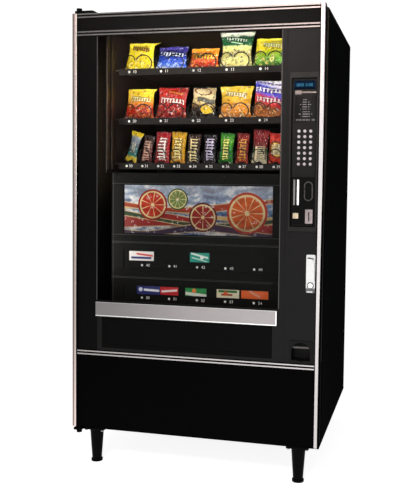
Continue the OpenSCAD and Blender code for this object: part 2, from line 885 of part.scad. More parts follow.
// Insulated can box, open at the front, on side skirts that stand on the base pan
module can_cooler() {
    color([0.16, 0.16, 0.17])
        difference() {
            union() {
                box([bay_x0 - bay_t, cooler_y0, can_z0], [bay_x1 + bay_t, back_in, can_z1]);
                for (x = [bay_x0 - bay_t, bay_x1])
                    box([x, skirt_y, cab_z], [x + bay_t, back_in, can_z0 + cut]);
            }
            box([bay_x0 - bay_t + cooler_wall, cooler_y0 - cut, can_z0 + cooler_wall],
                [bay_x1 + bay_t - cooler_wall, back_in - cooler_wall, can_z1 - cooler_wall]);
        }
}

module can_panel() {
    color([0.07, 0.07, 0.07])
        difference() {
            box([bay_x0, panel_y0, can_z0], [bay_x1, cooler_y0, can_z1]);
            upright(panel_y0 - cut, panel_y0 + picture_t)
                rounded([picture_x0, picture_z0], [picture_x0 + picture_w, picture_z1], 3);
            for (z = card_z)
                upright(panel_y0 - cut, panel_y0 + card_depth)
                    rounded([picture_x0, z], [picture_x0 + picture_w, z + card_row_h], 3);
            for (z = [picture_z0 - 36, card_z[0] - 36])
                box([bay_x0 - cut, panel_y0 - cut, z], [bay_x1 + cut, panel_y0 + seam_d, z + seam_w]);
        }
}

module compressor() {
    dome_r = compressor_d / 2;
    cylinder(h = compressor_h - dome_r / 2, d = compressor_d);
    translate([0, 0, compressor_h - dome_r / 2])
        intersection() {
            sphere(dome_r);
            cylinder(h = dome_r / 2, d = compressor_d);
        }
}

module cooling_unit() {
    deck_x0 = win_mid - tray_w / 2;
    condenser_x = win_mid + 30;
    color([0.2, 0.2, 0.21]) {
        box([deck_x0, deck_y0, cab_z], [deck_x0 + tray_w, back_in, cab_z + deck_t]);
        translate([compressor_x, compressor_y, cab_z + deck_t]) compressor();
        translate([condenser_x, back_in - 20 - condenser_d, cab_z + deck_t])
            difference() {
                cube([condenser_w, condenser_d, condenser_h]);
                for (z = [fin_pitch:fin_pitch:condenser_h - fin_pitch])
                    translate([-cut, -cut, z])
                        cube([condenser_w + 2 * cut, fin_d + cut, fin_pitch - fin_t]);
            }
    }
}

module control_box() {
    x = bay_x1 + bay_t;
    color([0.55, 0.56, 0.57])
        difference() {
            translate([x, tray_y0 + 130, control_z0]) cube(control_size);
            for (i = [0:7])
                translate([x + control_size[0] - 2, tray_y0 + 170, control_z0 + 60 + i * 26])
                    cube([2 + cut, control_size[1] - 80, 6]);
        }
}

module hinge_boss(z0, z1) {
    translate([hinge_x, hinge_y, z0]) cylinder(h = z1 - z0, d = hinge_boss_d);
}

module hinge_bore(z0, z1) {
    translate([hinge_x, hinge_y, z0]) cylinder(h = z1 - z0, d = hinge_pin_d + 2 * run_gap);
}

module door_header() {
    color([0.05, 0.05, 0.06])
        difference() {
            union() {
                door_pan(-frame_x, frame_x, header_box_z, door_z1);
                box([-frame_x, skin_y, win_z1], [frame_x, skin_back, header_box_z + cut]);
                hinge_boss(door_z1 - hinge_pin_l - skin_t, door_z1);
            }
            hinge_bore(door_z1 - hinge_pin_l - run_gap, door_z1 + cut);
        }
}

module kick_panel() {
    color([0.05, 0.05, 0.06])
        difference() {
            union() {
                door_pan(-frame_x, frame_x, door_z0, kick_z);
                hinge_boss(door_z0, door_z0 + hinge_pin_l + skin_t);
            }
            hinge_bore(door_z0 - cut, door_z0 + hinge_pin_l + run_gap);
        }
}

module hinge_stile() {
    color([0.05, 0.05, 0.06]) {
        box([-frame_x, skin_y, kick_z], [win_x0, skin_back, win_z1]);
        box([-frame_x, skin_y, kick_z], [-frame_x + skin_t, door_back, win_z1]);
        box([-frame_x, door_back - skin_t, kick_z], [-frame_x + lip_w, door_back, win_z1]);
    }
}

module lock_stile() {
    color([0.05, 0.05, 0.06])
        difference() {
            union() {
                box([win_x1, skin_y, kick_z], [frame_x, skin_back, win_z1]);
                for (x = [stile_wall_x, frame_x - skin_t])
                    box([x, skin_y, kick_z], [x + skin_t, door_back, win_z1]);
                for (x = [stile_wall_x, frame_x - lip_w])
                    box([x, door_back - skin_t, kick_z], [x + lip_w, door_back, win_z1]);
            }
            box([tub_x0 - tub_wall - fit_gap, skin_y - cut, tub_z0 - tub_wall - fit_gap],
                [tub_x1 + tub_wall + fit_gap, skin_back + cut, tub_z1 + tub_wall + fit_gap]);
            upright(skin_y - cut, skin_back + cut) cup_arch(cup_wall + fit_gap);
            pin_y(skin_y - cut, skin_back + cut, lock_x, rotor_z, lock_shaft_d + 2 * fit_gap);
            pin_y(skin_y - cut, skin_back + cut, lock_x, cylinder_z, cylinder_d + 2 * fit_gap);
        }
}

module window_glass() {
    color([0.75, 0.85, 0.85, 0.3])
        box([win_x0 - glass_lap, skin_back, win_z0 - glass_foot],
            [win_x1 + glass_lap, skin_back + glass_t, win_z1 + glass_lap]);
}

// Edge trim on the hinge side: a face with a rounded outer edge and a leg round the door's edge
module edge_trim() {
    translate([0, 0, door_z0])
        linear_extrude(door_z1 - door_z0) {
            rounded([-half_w, front_y], [-half_w + edge_w, skin_y], edge_r);
            translate([-half_w, skin_y - edge_r]) square([edge_w, edge_r]);
            translate([-half_w, skin_y - edge_r]) square([edge_leg_t, edge_r + edge_wrap]);
        }
}

module cross_trim(z) {
    x = half_w - edge_w - fit_gap;
    box([-x, skin_y - cross_base, z - cross_h / 2], [x, skin_y, z + cross_h / 2]);
    for (s = [-1, 1])
        box([-x, skin_y - rib_t, z + s * rib_pitch / 2 - rib_h / 2],
            [x, skin_y, z + s * rib_pitch / 2 + rib_h / 2]);
}

module bright_trims() {
    color([0.78, 0.79, 0.8]) {
        edge_trim();
        mirror([1, 0, 0]) edge_trim();
        for (z = [top_trim_z, head_trim_z, kick_trim_z])
            cross_trim(z);
    }
}

// Bright bar over the delivery mouth, on a rail that carries the foot of the glass
module delivery_bar() {
    x0 = win_x0 - 5;
    x1 = win_x1 - 4;
    z0 = mouth_z + 4;
    border = 4;
    color([0.7, 0.71, 0.72]) {
        box([win_x0, skin_y, mouth_z], [win_x1, skin_back, win_z0]);
        difference() {
            upright(skin_y - bar_t, skin_y) rounded([x0, z0], [x1, z0 + bar_h], 3);
            box([x0 - cut, skin_y - bar_t - cut, z0 + border],
                [x1 - border, skin_y - bar_t + 1.5, z0 + bar_h - 1]);
        }
    }
}

// Side profile of the delivery bin in Y and Z, drawn in by inset
module bin_profile(inset, over) {
    slant = inset * tan(22.5);
    polygon([
        [skin_back + inset, bin_z0 + inset],
        [bin_back - bin_chamfer - slant, bin_z0 + inset],
        [bin_back - inset, bin_z0 + bin_chamfer + slant],
        [bin_back - inset, bin_low_top + over],
        [bin_slope_y, bin_low_top + over],
        [skin_back + inset, bin_top + over]
    ]);
}

module delivery_bin() {
    color([0.06, 0.06, 0.06])
        difference() {
            union() {
                box([win_x0, skin_y, kick_z], [win_x1, skin_back, mouth_z]);
                along_x(bin_x0 - bin_wall, bin_x1 + bin_wall) bin_profile(0, 0);
            }
            along_x(bin_x0, bin_x1) bin_profile(bin_wall, 60);
            box([bin_x0, skin_y - cut, flap_foot_z - flap_gap],
                [bin_x1, skin_back + bin_wall + cut, mouth_z - 2]);
            pin_x(bin_x0 - flap_pin_l, bin_x1 + flap_pin_l, flap_axis_y, flap_axis_z,
                  flap_pin_d + 2 * run_gap);
        }
}

// Inward flap on two pivot pins, with a raised edge round its face and ribs behind
module delivery_flap() {
    face = flap_axis_y - flap_t / 2;
    edge = 14;
    ribs = 6;
    color([0.05, 0.05, 0.05]) {
        difference() {
            union() {
                box([flap_x0, face, flap_foot_z], [flap_x1, face + flap_t, flap_axis_z]);
                pin_x(flap_x0, flap_x1, flap_axis_y, flap_axis_z, flap_t);
            }
            upright(face - cut, face + 1.5)
                rounded([flap_x0 + edge, flap_foot_z + edge], [flap_x1 - edge, flap_axis_z - edge], 6);
            for (i = [0:ribs - 1])
                let (step = (flap_x1 - flap_x0 - edge) / ribs)
                box([flap_x0 + edge + i * step, face + 4.5, flap_foot_z + edge],
                    [flap_x0 + i * step + step, face + flap_t + cut, flap_axis_z - edge]);
        }
        pin_x(flap_x0 - flap_pin_l, flap_x1 + flap_pin_l, flap_axis_y, flap_axis_z, flap_pin_d);
    }
}

module selector_bezel() {
    color([0.08, 0.08, 0.09])
        difference() {
            union() {
                upright(skin_y - bezel_proud, skin_y)
                    rounded([bezel_x0, bezel_z0], [bezel_x1, bezel_z1], 5);
                box([tub_x0 - tub_wall, skin_y - cut, tub_z0 - tub_wall],
                    [tub_x1 + tub_wall, floor_back, tub_z1 + tub_wall]);
            }
            upright(skin_y - bezel_proud - cut, floor_y) tub_outline(0);
            upright(floor_y - cut, floor_y + shadow_gap_d)
                difference() {
                    tub_outline(0);
                    tub_outline(shadow_gap_w);
                }
            upright(floor_y - cut, floor_back + cut) lens_outline(fit_gap);
            upright(floor_y - cut, floor_back + cut) money_outline(fit_gap);
            for (r = [1:key_rows])
                for (c = [1:key_cols])
                    pin_y(floor_y - cut, floor_back + cut, key_x(c), key_z(r), key_d + 2 * fit_gap);
        }
}

module tub_outline(inset) {
    rounded([tub_x0 + inset, tub_z0 + inset], [tub_x1 - inset, tub_z1 - inset], 2);
}

module lens_outline(grow) {
    rounded([bezel_mid - lens_w / 2 - grow, lens_z - lens_h / 2 - grow],
            [bezel_mid + lens_w / 2 + grow, lens_z + lens_h / 2 + grow], 3);
}

module money_outline(grow) {
    rounded([money_x0 - grow, money_z0 - grow], [money_x1 + grow, money_z1 + grow], 2);
}

module display_lens() {
    color([0.1, 0.25, 0.45]) upright(floor_y - 2, floor_back) lens_outline(0);
}

// Selection key: a cap with a rounded edge and a flange behind the bezel floor
module key(r, c) {
    edge = 1.2;
    color([0.85, 0.85, 0.82])
        translate([key_x(c), 0, key_z(r)]) {
            pin_y(key_front + edge, floor_back + fit_gap + key_flange_t, 0, 0, key_d);
            translate([0, key_front + edge, 0])
                rotate([90, 0, 0]) cylinder(h = edge, d1 = key_d, d2 = key_d - 2 * edge);
            pin_y(floor_back + fit_gap, floor_back + fit_gap + key_flange_t, 0, 0, key_d + 4);
        }
}

module lever_outline(grow) {
    rounded([lever_x - lever_w / 2 - grow, lever_z0 - grow],
            [lever_x + lever_w / 2 + grow, lever_z1 + grow], lever_w / 2 + grow - 0.01);
}

module money_plate() {
    pin_room = lever_w / 2 + lever_pin_l;
    color([0.1, 0.1, 0.1])
        difference() {
            upright(money_front, floor_back) money_outline(0);
            box([bill_x - bill_slot_w / 2, money_front - cut, bill_z - bill_slot_h / 2],
                [bill_x + bill_slot_w / 2, floor_back + cut, bill_z + bill_slot_h / 2]);
            upright(money_front - cut, floor_back + cut) lever_outline(0);
            pin_x(lever_x - pin_room, lever_x + pin_room, lever_axis_y, lever_axis_z,
                  lever_pin_d + 2 * run_gap);
            box([coin_x - coin_slot_w / 2, money_front - cut, coin_z - coin_slot_h / 2],
                [coin_x + coin_slot_w / 2, floor_back + cut, coin_z + coin_slot_h / 2]);
            upright(money_front - cut, money_front + 1)
                rounded([pilot_x - pilot_w / 2, pilot_z - pilot_w / 2],
                        [pilot_x + pilot_w / 2, pilot_z + pilot_w / 2], 2);
        }
}

// Bright lips of the bill slot and the coin plate with its slot
module slot_plates() {
    color([0.75, 0.76, 0.77]) {
        for (s = [-1, 1])
            upright(money_front - lip_t, money_front)
                translate([bill_x + s * (bill_slot_w + bill_lip_w) / 2, 0])
                    rounded([-bill_lip_w / 2, bill_z - bill_slot_h / 2 - lip_over],
                            [bill_lip_w / 2, bill_z + bill_slot_h / 2 + lip_over], 1.5);
        difference() {
            upright(money_front - coin_plate_t, money_front)
                rounded([coin_x - coin_plate_w / 2, coin_z - coin_plate_h / 2],
                        [coin_x + coin_plate_w / 2, coin_z + coin_plate_h / 2], 3);
            box([coin_x - coin_slot_w / 2, money_front - coin_plate_t - cut, coin_z - coin_slot_h / 2],
                [coin_x + coin_slot_w / 2, money_front + cut, coin_z + coin_slot_h / 2]);
        }
    }
}

// Oval rocker with a dished face, on two pivot pins
module coin_lever() {
    face = lever_axis_y - lever_t / 2;
    color([0.04, 0.04, 0.04]) {
        difference() {
            upright(face, face + lever_t) lever_outline(-lever_gap);
            upright(face - cut, face + dish_d) lever_outline(-lever_gap - dish_rim);
        }
        pin_x(lever_x - lever_w / 2 - lever_pin_l + 0.5, lever_x + lever_w / 2 + lever_pin_l - 0.5,
              lever_axis_y, lever_axis_z, lever_pin_d);
    }
}

// Outline of the coin cup's opening in X and Z: straight sides with a round arch
module cup_arch(grow) {
    r = cup_open_w / 2 + grow;
    z0 = cup_z0 + cup_sill - grow;
    z1 = cup_z0 + cup_sill + cup_open_h - cup_open_w / 2;
    translate([cup_x - r, z0]) square([2 * r, z1 - z0]);
    translate([cup_x, z1]) circle(r);
}

module coin_cup() {
    color([0.06, 0.06, 0.06]) {
        difference() {
            union() {
                upright(skin_y - cup_rim_t, skin_y)
                    rounded([cup_x - cup_w / 2, cup_z0], [cup_x + cup_w / 2, cup_z0 + cup_h], 8);
                upright(skin_y - cut, skin_y + cup_d) cup_arch(cup_wall);
            }
            upright(skin_y - cup_rim_t - cut, skin_y + cup_d - cup_wall) cup_arch(0);
        }
        box([cup_x - cup_open_w / 2 - cut, skin_y + 8, cup_z0 + cup_sill + cup_open_h - 26],
            [cup_x + cup_open_w / 2 + cut, skin_y + 11, cup_z0 + cup_sill + cup_open_h - 26 + baffle_h]);
    }
}

module lock_plate() {
    color([0.7, 0.71, 0.72])
        difference() {
            upright(lock_face, skin_y)
                rounded([lock_x - lock_w / 2, lock_z0], [lock_x + lock_w / 2, lock_z1], 5);
            pin_y(lock_face - cut, skin_y + cut, lock_x, rotor_z, lock_shaft_d + 2 * run_gap);
            pin_y(lock_face - cut, skin_y + cut, lock_x, cylinder_z, cylinder_d + 2 * run_gap);
        }
}

// Turning boss of the swing handle: disc, shaft, latch cam and two ears for the handle's pin
module lock_rotor() {
    back = skin_back + shaft_len;
    color([0.62, 0.63, 0.64])
        difference() {
            union() {
                pin_y(rotor_face, rotor_face + rotor_t, lock_x, rotor_z, rotor_d);
                pin_y(rotor_face, back, lock_x, rotor_z, lock_shaft_d);
                for (s = [-1, 1])
                    let (x = lock_x + s * (ear_x - ear_w / 2))
                    box([x - ear_w / 2, handle_axis_y - handle_t / 2, rotor_z + 4],
                        [x + ear_w / 2, rotor_face + cut / 2, rotor_z + 14]);
                upright(back - cam_t, back)
                    rounded([lock_x - 9, rotor_z - cam_l], [lock_x + 9, rotor_z + 9], 6);
            }
            pin_x(lock_x - ear_x - cut, lock_x + ear_x + cut, handle_axis_y, handle_axis_z,
                  handle_pin_d + 2 * run_gap);
        }
}

module lock_handle() {
    face = handle_axis_y - handle_t / 2;
    shoulder = rotor_z + 3;
    color([0.8, 0.81, 0.82]) {
        upright(face, face + handle_t)
            rounded([lock_x - handle_w / 2, rotor_z - handle_l], [lock_x + handle_w / 2, shoulder], 6);
        box([lock_x - neck_w / 2, face, shoulder - cut],
            [lock_x + neck_w / 2, face + handle_t, handle_axis_z]);
        pin_x(lock_x - neck_w / 2, lock_x + neck_w / 2, handle_axis_y, handle_axis_z, handle_t);
        pin_x(lock_x - ear_x, lock_x + ear_x, handle_axis_y, handle_axis_z, handle_pin_d);
    }
}

module lock_cylinder() {
    face = lock_face - cylinder_out;
    color([0.5, 0.5, 0.48])
        difference() {
            pin_y(face, skin_y + cylinder_in, lock_x, cylinder_z, cylinder_d);
            box([lock_x - keyway[0] / 2, face - cut, cylinder_z - keyway[1] / 2],
                [lock_x + keyway[0] / 2, face + keyway[2], cylinder_z + keyway[1] / 2]);
        }
}

module coin_changer() {
    tube_x = changer_x[0] + tube_in;
    tube_z = changer_z[0] + tube_in;
    color([0.6, 0.6, 0.58])
        difference() {
            box([changer_x[0], door_back, changer_z[0]],
                [changer_x[1], door_back + changer_d, changer_z[1]]);
            for (i = [0:tube_count - 1])
                translate([tube_x + i * tube_pitch, door_back + changer_d, tube_z])
                    cylinder(h = tube_h, d = tube_d);
        }
}

module bill_validator() {
    nose_w = bill_slot_w + 2 * bill_lip_w;
    color([0.1, 0.1, 0.11])
        difference() {
            union() {
                box([changer_x[0], door_back, validator_z[0]],
                    [changer_x[1], door_back + validator_d, validator_z[1]]);
                box([bill_x - nose_w / 2, floor_back, bill_z - bill_slot_h / 2 - lip_over],
                    [bill_x + nose_w / 2, door_back + cut, bill_z + bill_slot_h / 2 + lip_over]);
            }
            box([bill_x - bill_slot_w / 2, floor_back - cut, bill_z - bill_slot_h / 2],
                [bill_x + bill_slot_w / 2, door_back + cut, bill_z + bill_slot_h / 2]);
        }
}

// Upright lamp tube in two holders behind the hinge side of the door
module lamp() {
    color([0.9, 0.9, 0.88]) {
        translate([lamp_x, lamp_y, lamp_mid_z - lamp_l / 2 + fit_gap])
            cylinder(h = lamp_l - 2 * fit_gap, d = lamp_d);
        for (z = [lamp_mid_z - lamp_l / 2 - holder_h, lamp_mid_z + lamp_l / 2])
            translate([lamp_x - holder_w / 2, skin_back, z])
                cube([holder_w, lamp_y - skin_back + lamp_d / 2, holder_h]);
    }
}

side_panels();
top_panel();
back_panel();
base_pan();
legs();
hinge_brackets();
bay_walls();
snack_trays();
chip_coils();
candy_coils();
coil_motors();
chip_bags();
candy_bars();
can_cooler();
can_panel();
cooling_unit();
control_box();
door_header();
hinge_stile();
lock_stile();
kick_panel();
window_glass();
bright_trims();
delivery_bar();
delivery_bin();
selector_bezel();
display_lens();
money_plate();
slot_plates();
coin_cup();
lock_plate();
coin_changer();
bill_validator();
lamp();
delivery_flap();
coin_lever();
lock_rotor();
lock_handle();
lock_cylinder();
for (r = [1:key_rows])
    for (c = [1:key_cols])
        key(r, c);
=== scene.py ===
"""Looks of a combo snack and can vending machine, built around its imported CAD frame, in metres."""
import math
from collections import namedtuple
from functools import partialmethod

import bmesh
import bpy
from mathutils import Matrix, Vector, noise


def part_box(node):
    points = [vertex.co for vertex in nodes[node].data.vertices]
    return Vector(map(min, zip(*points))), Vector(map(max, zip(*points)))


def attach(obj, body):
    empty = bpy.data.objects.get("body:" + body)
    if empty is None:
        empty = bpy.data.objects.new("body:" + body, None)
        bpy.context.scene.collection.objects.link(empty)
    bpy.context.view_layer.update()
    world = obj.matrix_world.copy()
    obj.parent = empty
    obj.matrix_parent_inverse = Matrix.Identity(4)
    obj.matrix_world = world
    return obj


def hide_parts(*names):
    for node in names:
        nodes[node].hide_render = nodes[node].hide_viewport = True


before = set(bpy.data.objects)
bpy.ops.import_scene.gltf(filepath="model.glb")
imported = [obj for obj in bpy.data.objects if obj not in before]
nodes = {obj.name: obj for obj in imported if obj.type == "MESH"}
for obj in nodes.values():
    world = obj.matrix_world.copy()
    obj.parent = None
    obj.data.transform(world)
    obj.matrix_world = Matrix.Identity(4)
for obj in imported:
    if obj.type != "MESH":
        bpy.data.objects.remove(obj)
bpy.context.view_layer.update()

# Planes and edges of the CAD that the dressing is set against
HEADER_LOW, HEADER_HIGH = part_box("door_header")
DOOR_SKIN = HEADER_LOW.y
DOOR_BACK = HEADER_HIGH.y
WINDOW_TOP = HEADER_LOW.z
WINDOW_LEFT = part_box("hinge_stile")[1].x
WINDOW_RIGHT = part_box("lock_stile")[0].x
RAIL_LOW, RAIL_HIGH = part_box("delivery_bar")
WINDOW_FOOT = RAIL_HIGH.z
TRIMS_LOW, TRIMS_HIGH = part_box("bright_trims")
HALF_WIDTH = TRIMS_HIGH.x
PANEL_LOW, PANEL_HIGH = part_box("can_panel")
PANEL_FACE = PANEL_LOW.y
TRAYS_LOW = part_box("snack_trays")[0]
RAIL_FACE = TRAYS_LOW.y
BEZEL_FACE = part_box("selector_bezel")[0].y
MONEY_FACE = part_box("money_plate")[0].y
LENS_LOW, LENS_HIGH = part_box("display_lens")
WALLS_LOW, WALLS_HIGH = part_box("bay_walls")
CABINET_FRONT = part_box("side_panels")[0].y
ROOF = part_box("top_panel")[1]

# Places within those pieces
EDGE_TRIM = 0.020
WELL_FLOOR = DOOR_SKIN + 0.006
NOTE_SLOT_X = 0.407
COIN_PLATE_TOP = 1.075
PANEL_EDGES = (0.7570, 0.7620, 0.9050, 0.9100, 0.9390, 1.1530)
PANEL_BORDER = (0.3645, 0.3660)
LAMP_HOLDER = 0.0405

# Depth of paint, the heights between which the light inside fades, and the paint's tint
PAINT = 0.0005
DIM, LIT = 1.0, 1.35
PAINT_TINT = (1.0, 0.97, 1.06)

# Trays, coils and stock
TRAY_FLOORS = (1.630, 1.426, 1.239)
CHIP_LANE = 0.140
CANDY_LANE = 0.070
LANES = 5
COIL_FRONT = RAIL_FACE + 0.008
COIL_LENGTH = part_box("coil_motors")[0].y - COIL_FRONT
COIL_AXIS = 0.03105
COIL_RADIUS = 0.0285
COIL_PAIR = 0.0625
COIL_TURNS = 8
STEPS_PER_TURN = 24
WIRE_RADIUS = 0.00215
STOCK_Y = sum(corner.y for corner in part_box("candy_bars")) / 2
STOCK_ANGLE = math.tau * COIL_TURNS * (STOCK_Y - COIL_FRONT) / COIL_LENGTH

# Film packs: faces across and up, gap below, backward slope, seals, where a flap starts, reach of pleats,
# arch over a wire
FILM_CELLS = (40, 52)
REST = 0.0004
PACK_REST = 0.05
FILM_SEAL = 0.009
FLAP_FROM = 0.86
PLEAT_REACH = 0.016
ARCH_WIDTH, ARCH_RISE, ARCH_REACH = 0.0105, 0.0078, 0.03


def rgba(look):
    """Linear colour of a six-digit code, a grey level or three numbers."""
    if isinstance(look, str):
        parts = [int(look[i:i + 2], 16) / 255 for i in (0, 2, 4)]
        look = [c / 12.92 if c <= 0.04045 else ((c + 0.055) / 1.055) ** 2.4 for c in parts]
    elif isinstance(look, (int, float)):
        look = (look, look, look)
    return (*look, 1.0)


def tinted(level, tint):
    return [level * c for c in tint]


class Value:
    """One output of a node. Arithmetic on it adds Math nodes to the same graph."""

    def __init__(self, graph, socket):
        self.graph = graph
        self.socket = socket

    def maths(self, operation, *others):
        terms = dict(enumerate((self, *others)))
        return self.graph.node("ShaderNodeMath", {"operation": operation}, terms)

    def __rsub__(self, other):
        return self.graph.node("ShaderNodeMath", {"operation": "SUBTRACT"}, {0: other, 1: self})

    __add__ = __radd__ = partialmethod(maths, "ADD")
    __sub__ = partialmethod(maths, "SUBTRACT")
    __mul__ = __rmul__ = partialmethod(maths, "MULTIPLY")
    __truediv__ = partialmethod(maths, "DIVIDE")
    __pow__ = partialmethod(maths, "POWER")
    __gt__ = partialmethod(maths, "GREATER_THAN")
    __lt__ = partialmethod(maths, "LESS_THAN")
    __abs__ = partialmethod(maths, "ABSOLUTE")
    either = partialmethod(maths, "MAXIMUM")
    whole = partialmethod(maths, "FLOOR")
    part = partialmethod(maths, "FRACT")
    sine = partialmethod(maths, "SINE")
    cosine = partialmethod(maths, "COSINE")
    angle = partialmethod(maths, "ARCTAN2")

    def rise(self, low, high):
        """0 below low, 1 above high, smooth between; low may be the larger one."""
        return self.graph.node(
            "ShaderNodeMapRange",
            {"interpolation_type": "SMOOTHSTEP"},
            {"Value": self, "From Min": low, "From Max": high},
        )

    def between(self, low, high, soft):
        """1 from low to high, with soft edges."""
        return self.rise(low - soft, low + soft) * self.rise(high + soft, high - soft)


class Graph:
    """A node tree that is written as expressions."""

    def __init__(self, tree):
        self.tree = tree

    def feed(self, socket, value):
        if isinstance(value, Value):
            self.tree.links.new(value.socket, socket)
        else:
            socket.default_value = rgba(value) if socket.type == "RGBA" else value

    def node(self, kind, settings=None, sockets=None, out=0):
        """Adds a node: its settings first, then values or links for its sockets, by name or number."""
        made = self.tree.nodes.new(kind)
        for key, value in (settings or {}).items():
            if key == "stops":
                ramp = made.color_ramp.elements
                while len(ramp) < len(value):
                    ramp.new(1.0)
                for stop, (place, look) in zip(ramp, value):
                    stop.position = place
                    stop.color = rgba(look)
            else:
                setattr(made, key, value)
        for key, value in (sockets or {}).items():
            self.feed(made.inputs[key], value)
        return Value(self, made.outputs[out])

    def axes(self, vector):
        parts = self.node("ShaderNodeSeparateXYZ", sockets={0: vector})
        return [Value(self, s) for s in parts.socket.node.outputs]


class Finish(Graph):
    """A material: what is even is set on the Principled shader, and what varies is linked to it."""

    SOCKETS = {
        "colour": "Base Color", "roughness": "Roughness", "metallic": "Metallic", "alpha": "Alpha",
        "specular": "Specular IOR Level", "coat": "Coat Weight", "coat_roughness": "Coat Roughness",
        "glow": "Emission Color", "glow_strength": "Emission Strength", "normal": "Normal",
    }

    def __init__(self, name, **sockets):
        self.material = bpy.data.materials.new(name)
        self.material.use_nodes = True
        super().__init__(self.material.node_tree)
        self.shader = self.tree.nodes["Principled BSDF"]
        self.paint(**sockets)

    def paint(self, **sockets):
        for key, value in sockets.items():
            self.feed(self.shader.inputs[self.SOCKETS[key]], value)
        return self

    def cover(self, kind, sockets, under):
        """Shows a shader that takes the Principled one into its socket under."""
        whole = self.node(kind, sockets={**sockets, under: Value(self, self.shader.outputs[0])})
        self.feed(self.tree.nodes["Material Output"].inputs["Surface"], whole)
        return self

    def moved(self, where, operation, by):
        return self.node("ShaderNodeVectorMath", {"operation": operation}, {0: where, 1: by})

    def place(self, stretch=(1, 1, 1), shift=(0, 0, 0)):
        """Object coordinates, moved by shift and then stretched."""
        where = self.node("ShaderNodeTexCoord", out="Object")
        return self.moved(self.moved(where, "ADD", shift), "MULTIPLY", stretch)

    def spot(self, stretch=(1, 1, 1), shift=(0, 0, 0)):
        """The three axes of place."""
        return self.axes(self.place(stretch, shift))

    def sheet(self, low, width, height):
        """Places across and up a flat print, in units of width and height."""
        u, _, v = self.spot((1 / width, 1.0, 1 / height), (-low.x, 0.0, -low.z))
        return u, v

    def grain(self, scale, detail=2.0, where=None):
        sockets = {"Vector": where or self.place(), "Scale": scale, "Detail": detail}
        return self.node("ShaderNodeTexNoise", sockets=sockets)

    def cells(self, scale, where=None, feature="F1", out=0):
        sockets = {"Vector": where or self.place(), "Scale": scale}
        return self.node("ShaderNodeTexVoronoi", {"feature": feature}, sockets, out)

    def lot(self, number):
        """A fixed random share for each whole number."""
        return self.node("ShaderNodeTexWhiteNoise", {"noise_dimensions": "1D"}, {"W": number})

    def mix(self, factor, first, second):
        return self.node("ShaderNodeMix", {"data_type": "RGBA"}, {0: factor, 6: first, 7: second}, 2)

    def ramp(self, value, stops):
        return self.node("ShaderNodeValToRGB", {"stops": stops}, {0: value})

    def bump(self, height, strength, distance=0.0002):
        sockets = {"Strength": strength, "Distance": distance, "Height": height}
        return self.paint(normal=self.node("ShaderNodeBump", sockets=sockets))


def paint_tone(f):
    """Cloudy and fine unevenness of baked paint."""
    return f.grain(5.0, 4.0) * 0.6 + f.grain(90.0, 3.0) * 0.4


def enamel(name, dark, light, roughness, specular, pebble=760.0, tint=PAINT_TINT, seam=None, lit_liner=None):
    """Black paint with a pebbled skin; seam is the X of an upright groove, and the last argument the colour
    inside, partly its own and partly painted light that fades out downwards.
    """
    f = Finish(name, specular=specular)
    tone = paint_tone(f)
    height = f.cells(pebble) * 0.7 + f.grain(pebble * 1.7, 1.0) * 0.3
    colour = f.mix(tone, dark, tinted(light, tint))
    x, y, z = f.spot()
    if lit_liner:
        inside = (abs(x) < HALF_WIDTH - PAINT) * (z < ROOF.z - PAINT) * (y < ROOF.y - PAINT)
        # Painted light inside the cabinet: the lining colour fades out downwards, from LIT to DIM
        colour = f.mix(inside * (0.6 + 0.4 * tone) * z.rise(DIM, LIT), colour, lit_liner)
    if seam:
        groove = x.between(seam - 0.0012, seam + 0.0012, 0.0004)
        colour = f.mix(groove, colour, dark * 0.3)
        height = height - groove * 4.0
    f.paint(colour=colour, roughness=roughness + 0.14 * f.grain(26.0, 3.0))
    return f.bump(height, 0.35, 0.0004)


def tray_enamel():
    """Tray paint: a dark price rail in front, and a paler warm grey inside that painted shade darkens below
    the trays.
    """
    f = Finish("tray_paint", specular=0.12)
    _, y, z = f.spot()
    tone = paint_tone(f)
    rail = f.mix(tone, 0.008, (0.022, 0.017, 0.016))
    inside = f.mix(tone, (0.038, 0.025, 0.022), (0.085, 0.058, 0.050))
    # Painted shade: the inside goes near black below the trays, from LIT down to DIM
    inside = f.mix(z.rise(LIT, DIM), inside, 0.003)
    f.paint(colour=f.mix(y > RAIL_FACE + 0.0008, rail, inside), roughness=0.42 + 0.14 * f.grain(26.0, 3.0))
    return f.bump(f.cells(1500.0), 0.3, 0.0003)


def moulded(name, level, roughness, specular=0.3, tint=(1, 1, 1)):
    """Moulded plastic with a fine spark texture and handling marks."""
    f = Finish(name, specular=specular)
    marks = f.mix(f.grain(34.0, 4.0), tinted(level * 0.8, tint), tinted(level * 1.25, tint))
    f.paint(colour=marks, roughness=roughness + 0.16 * f.grain(60.0))
    return f.bump(f.grain(2100.0, 1.0), 0.12)


def brushed(name, level, roughness, stretch, tint=(1, 1, 1)):
    """Metal with drawn lines along the axes whose stretch is small."""
    f = Finish(name, metallic=1.0)
    f.lines = f.grain(1.0, 3.0, f.place(stretch))
    cloud = f.grain(9.0, 3.0)
    f.tone = f.mix(f.lines * 0.7 + cloud * 0.3, tinted(level * 0.82, tint), tinted(level * 1.1, tint))
    f.paint(colour=f.tone, roughness=roughness + 0.15 * f.lines)
    return f.bump(f.lines, 0.1)


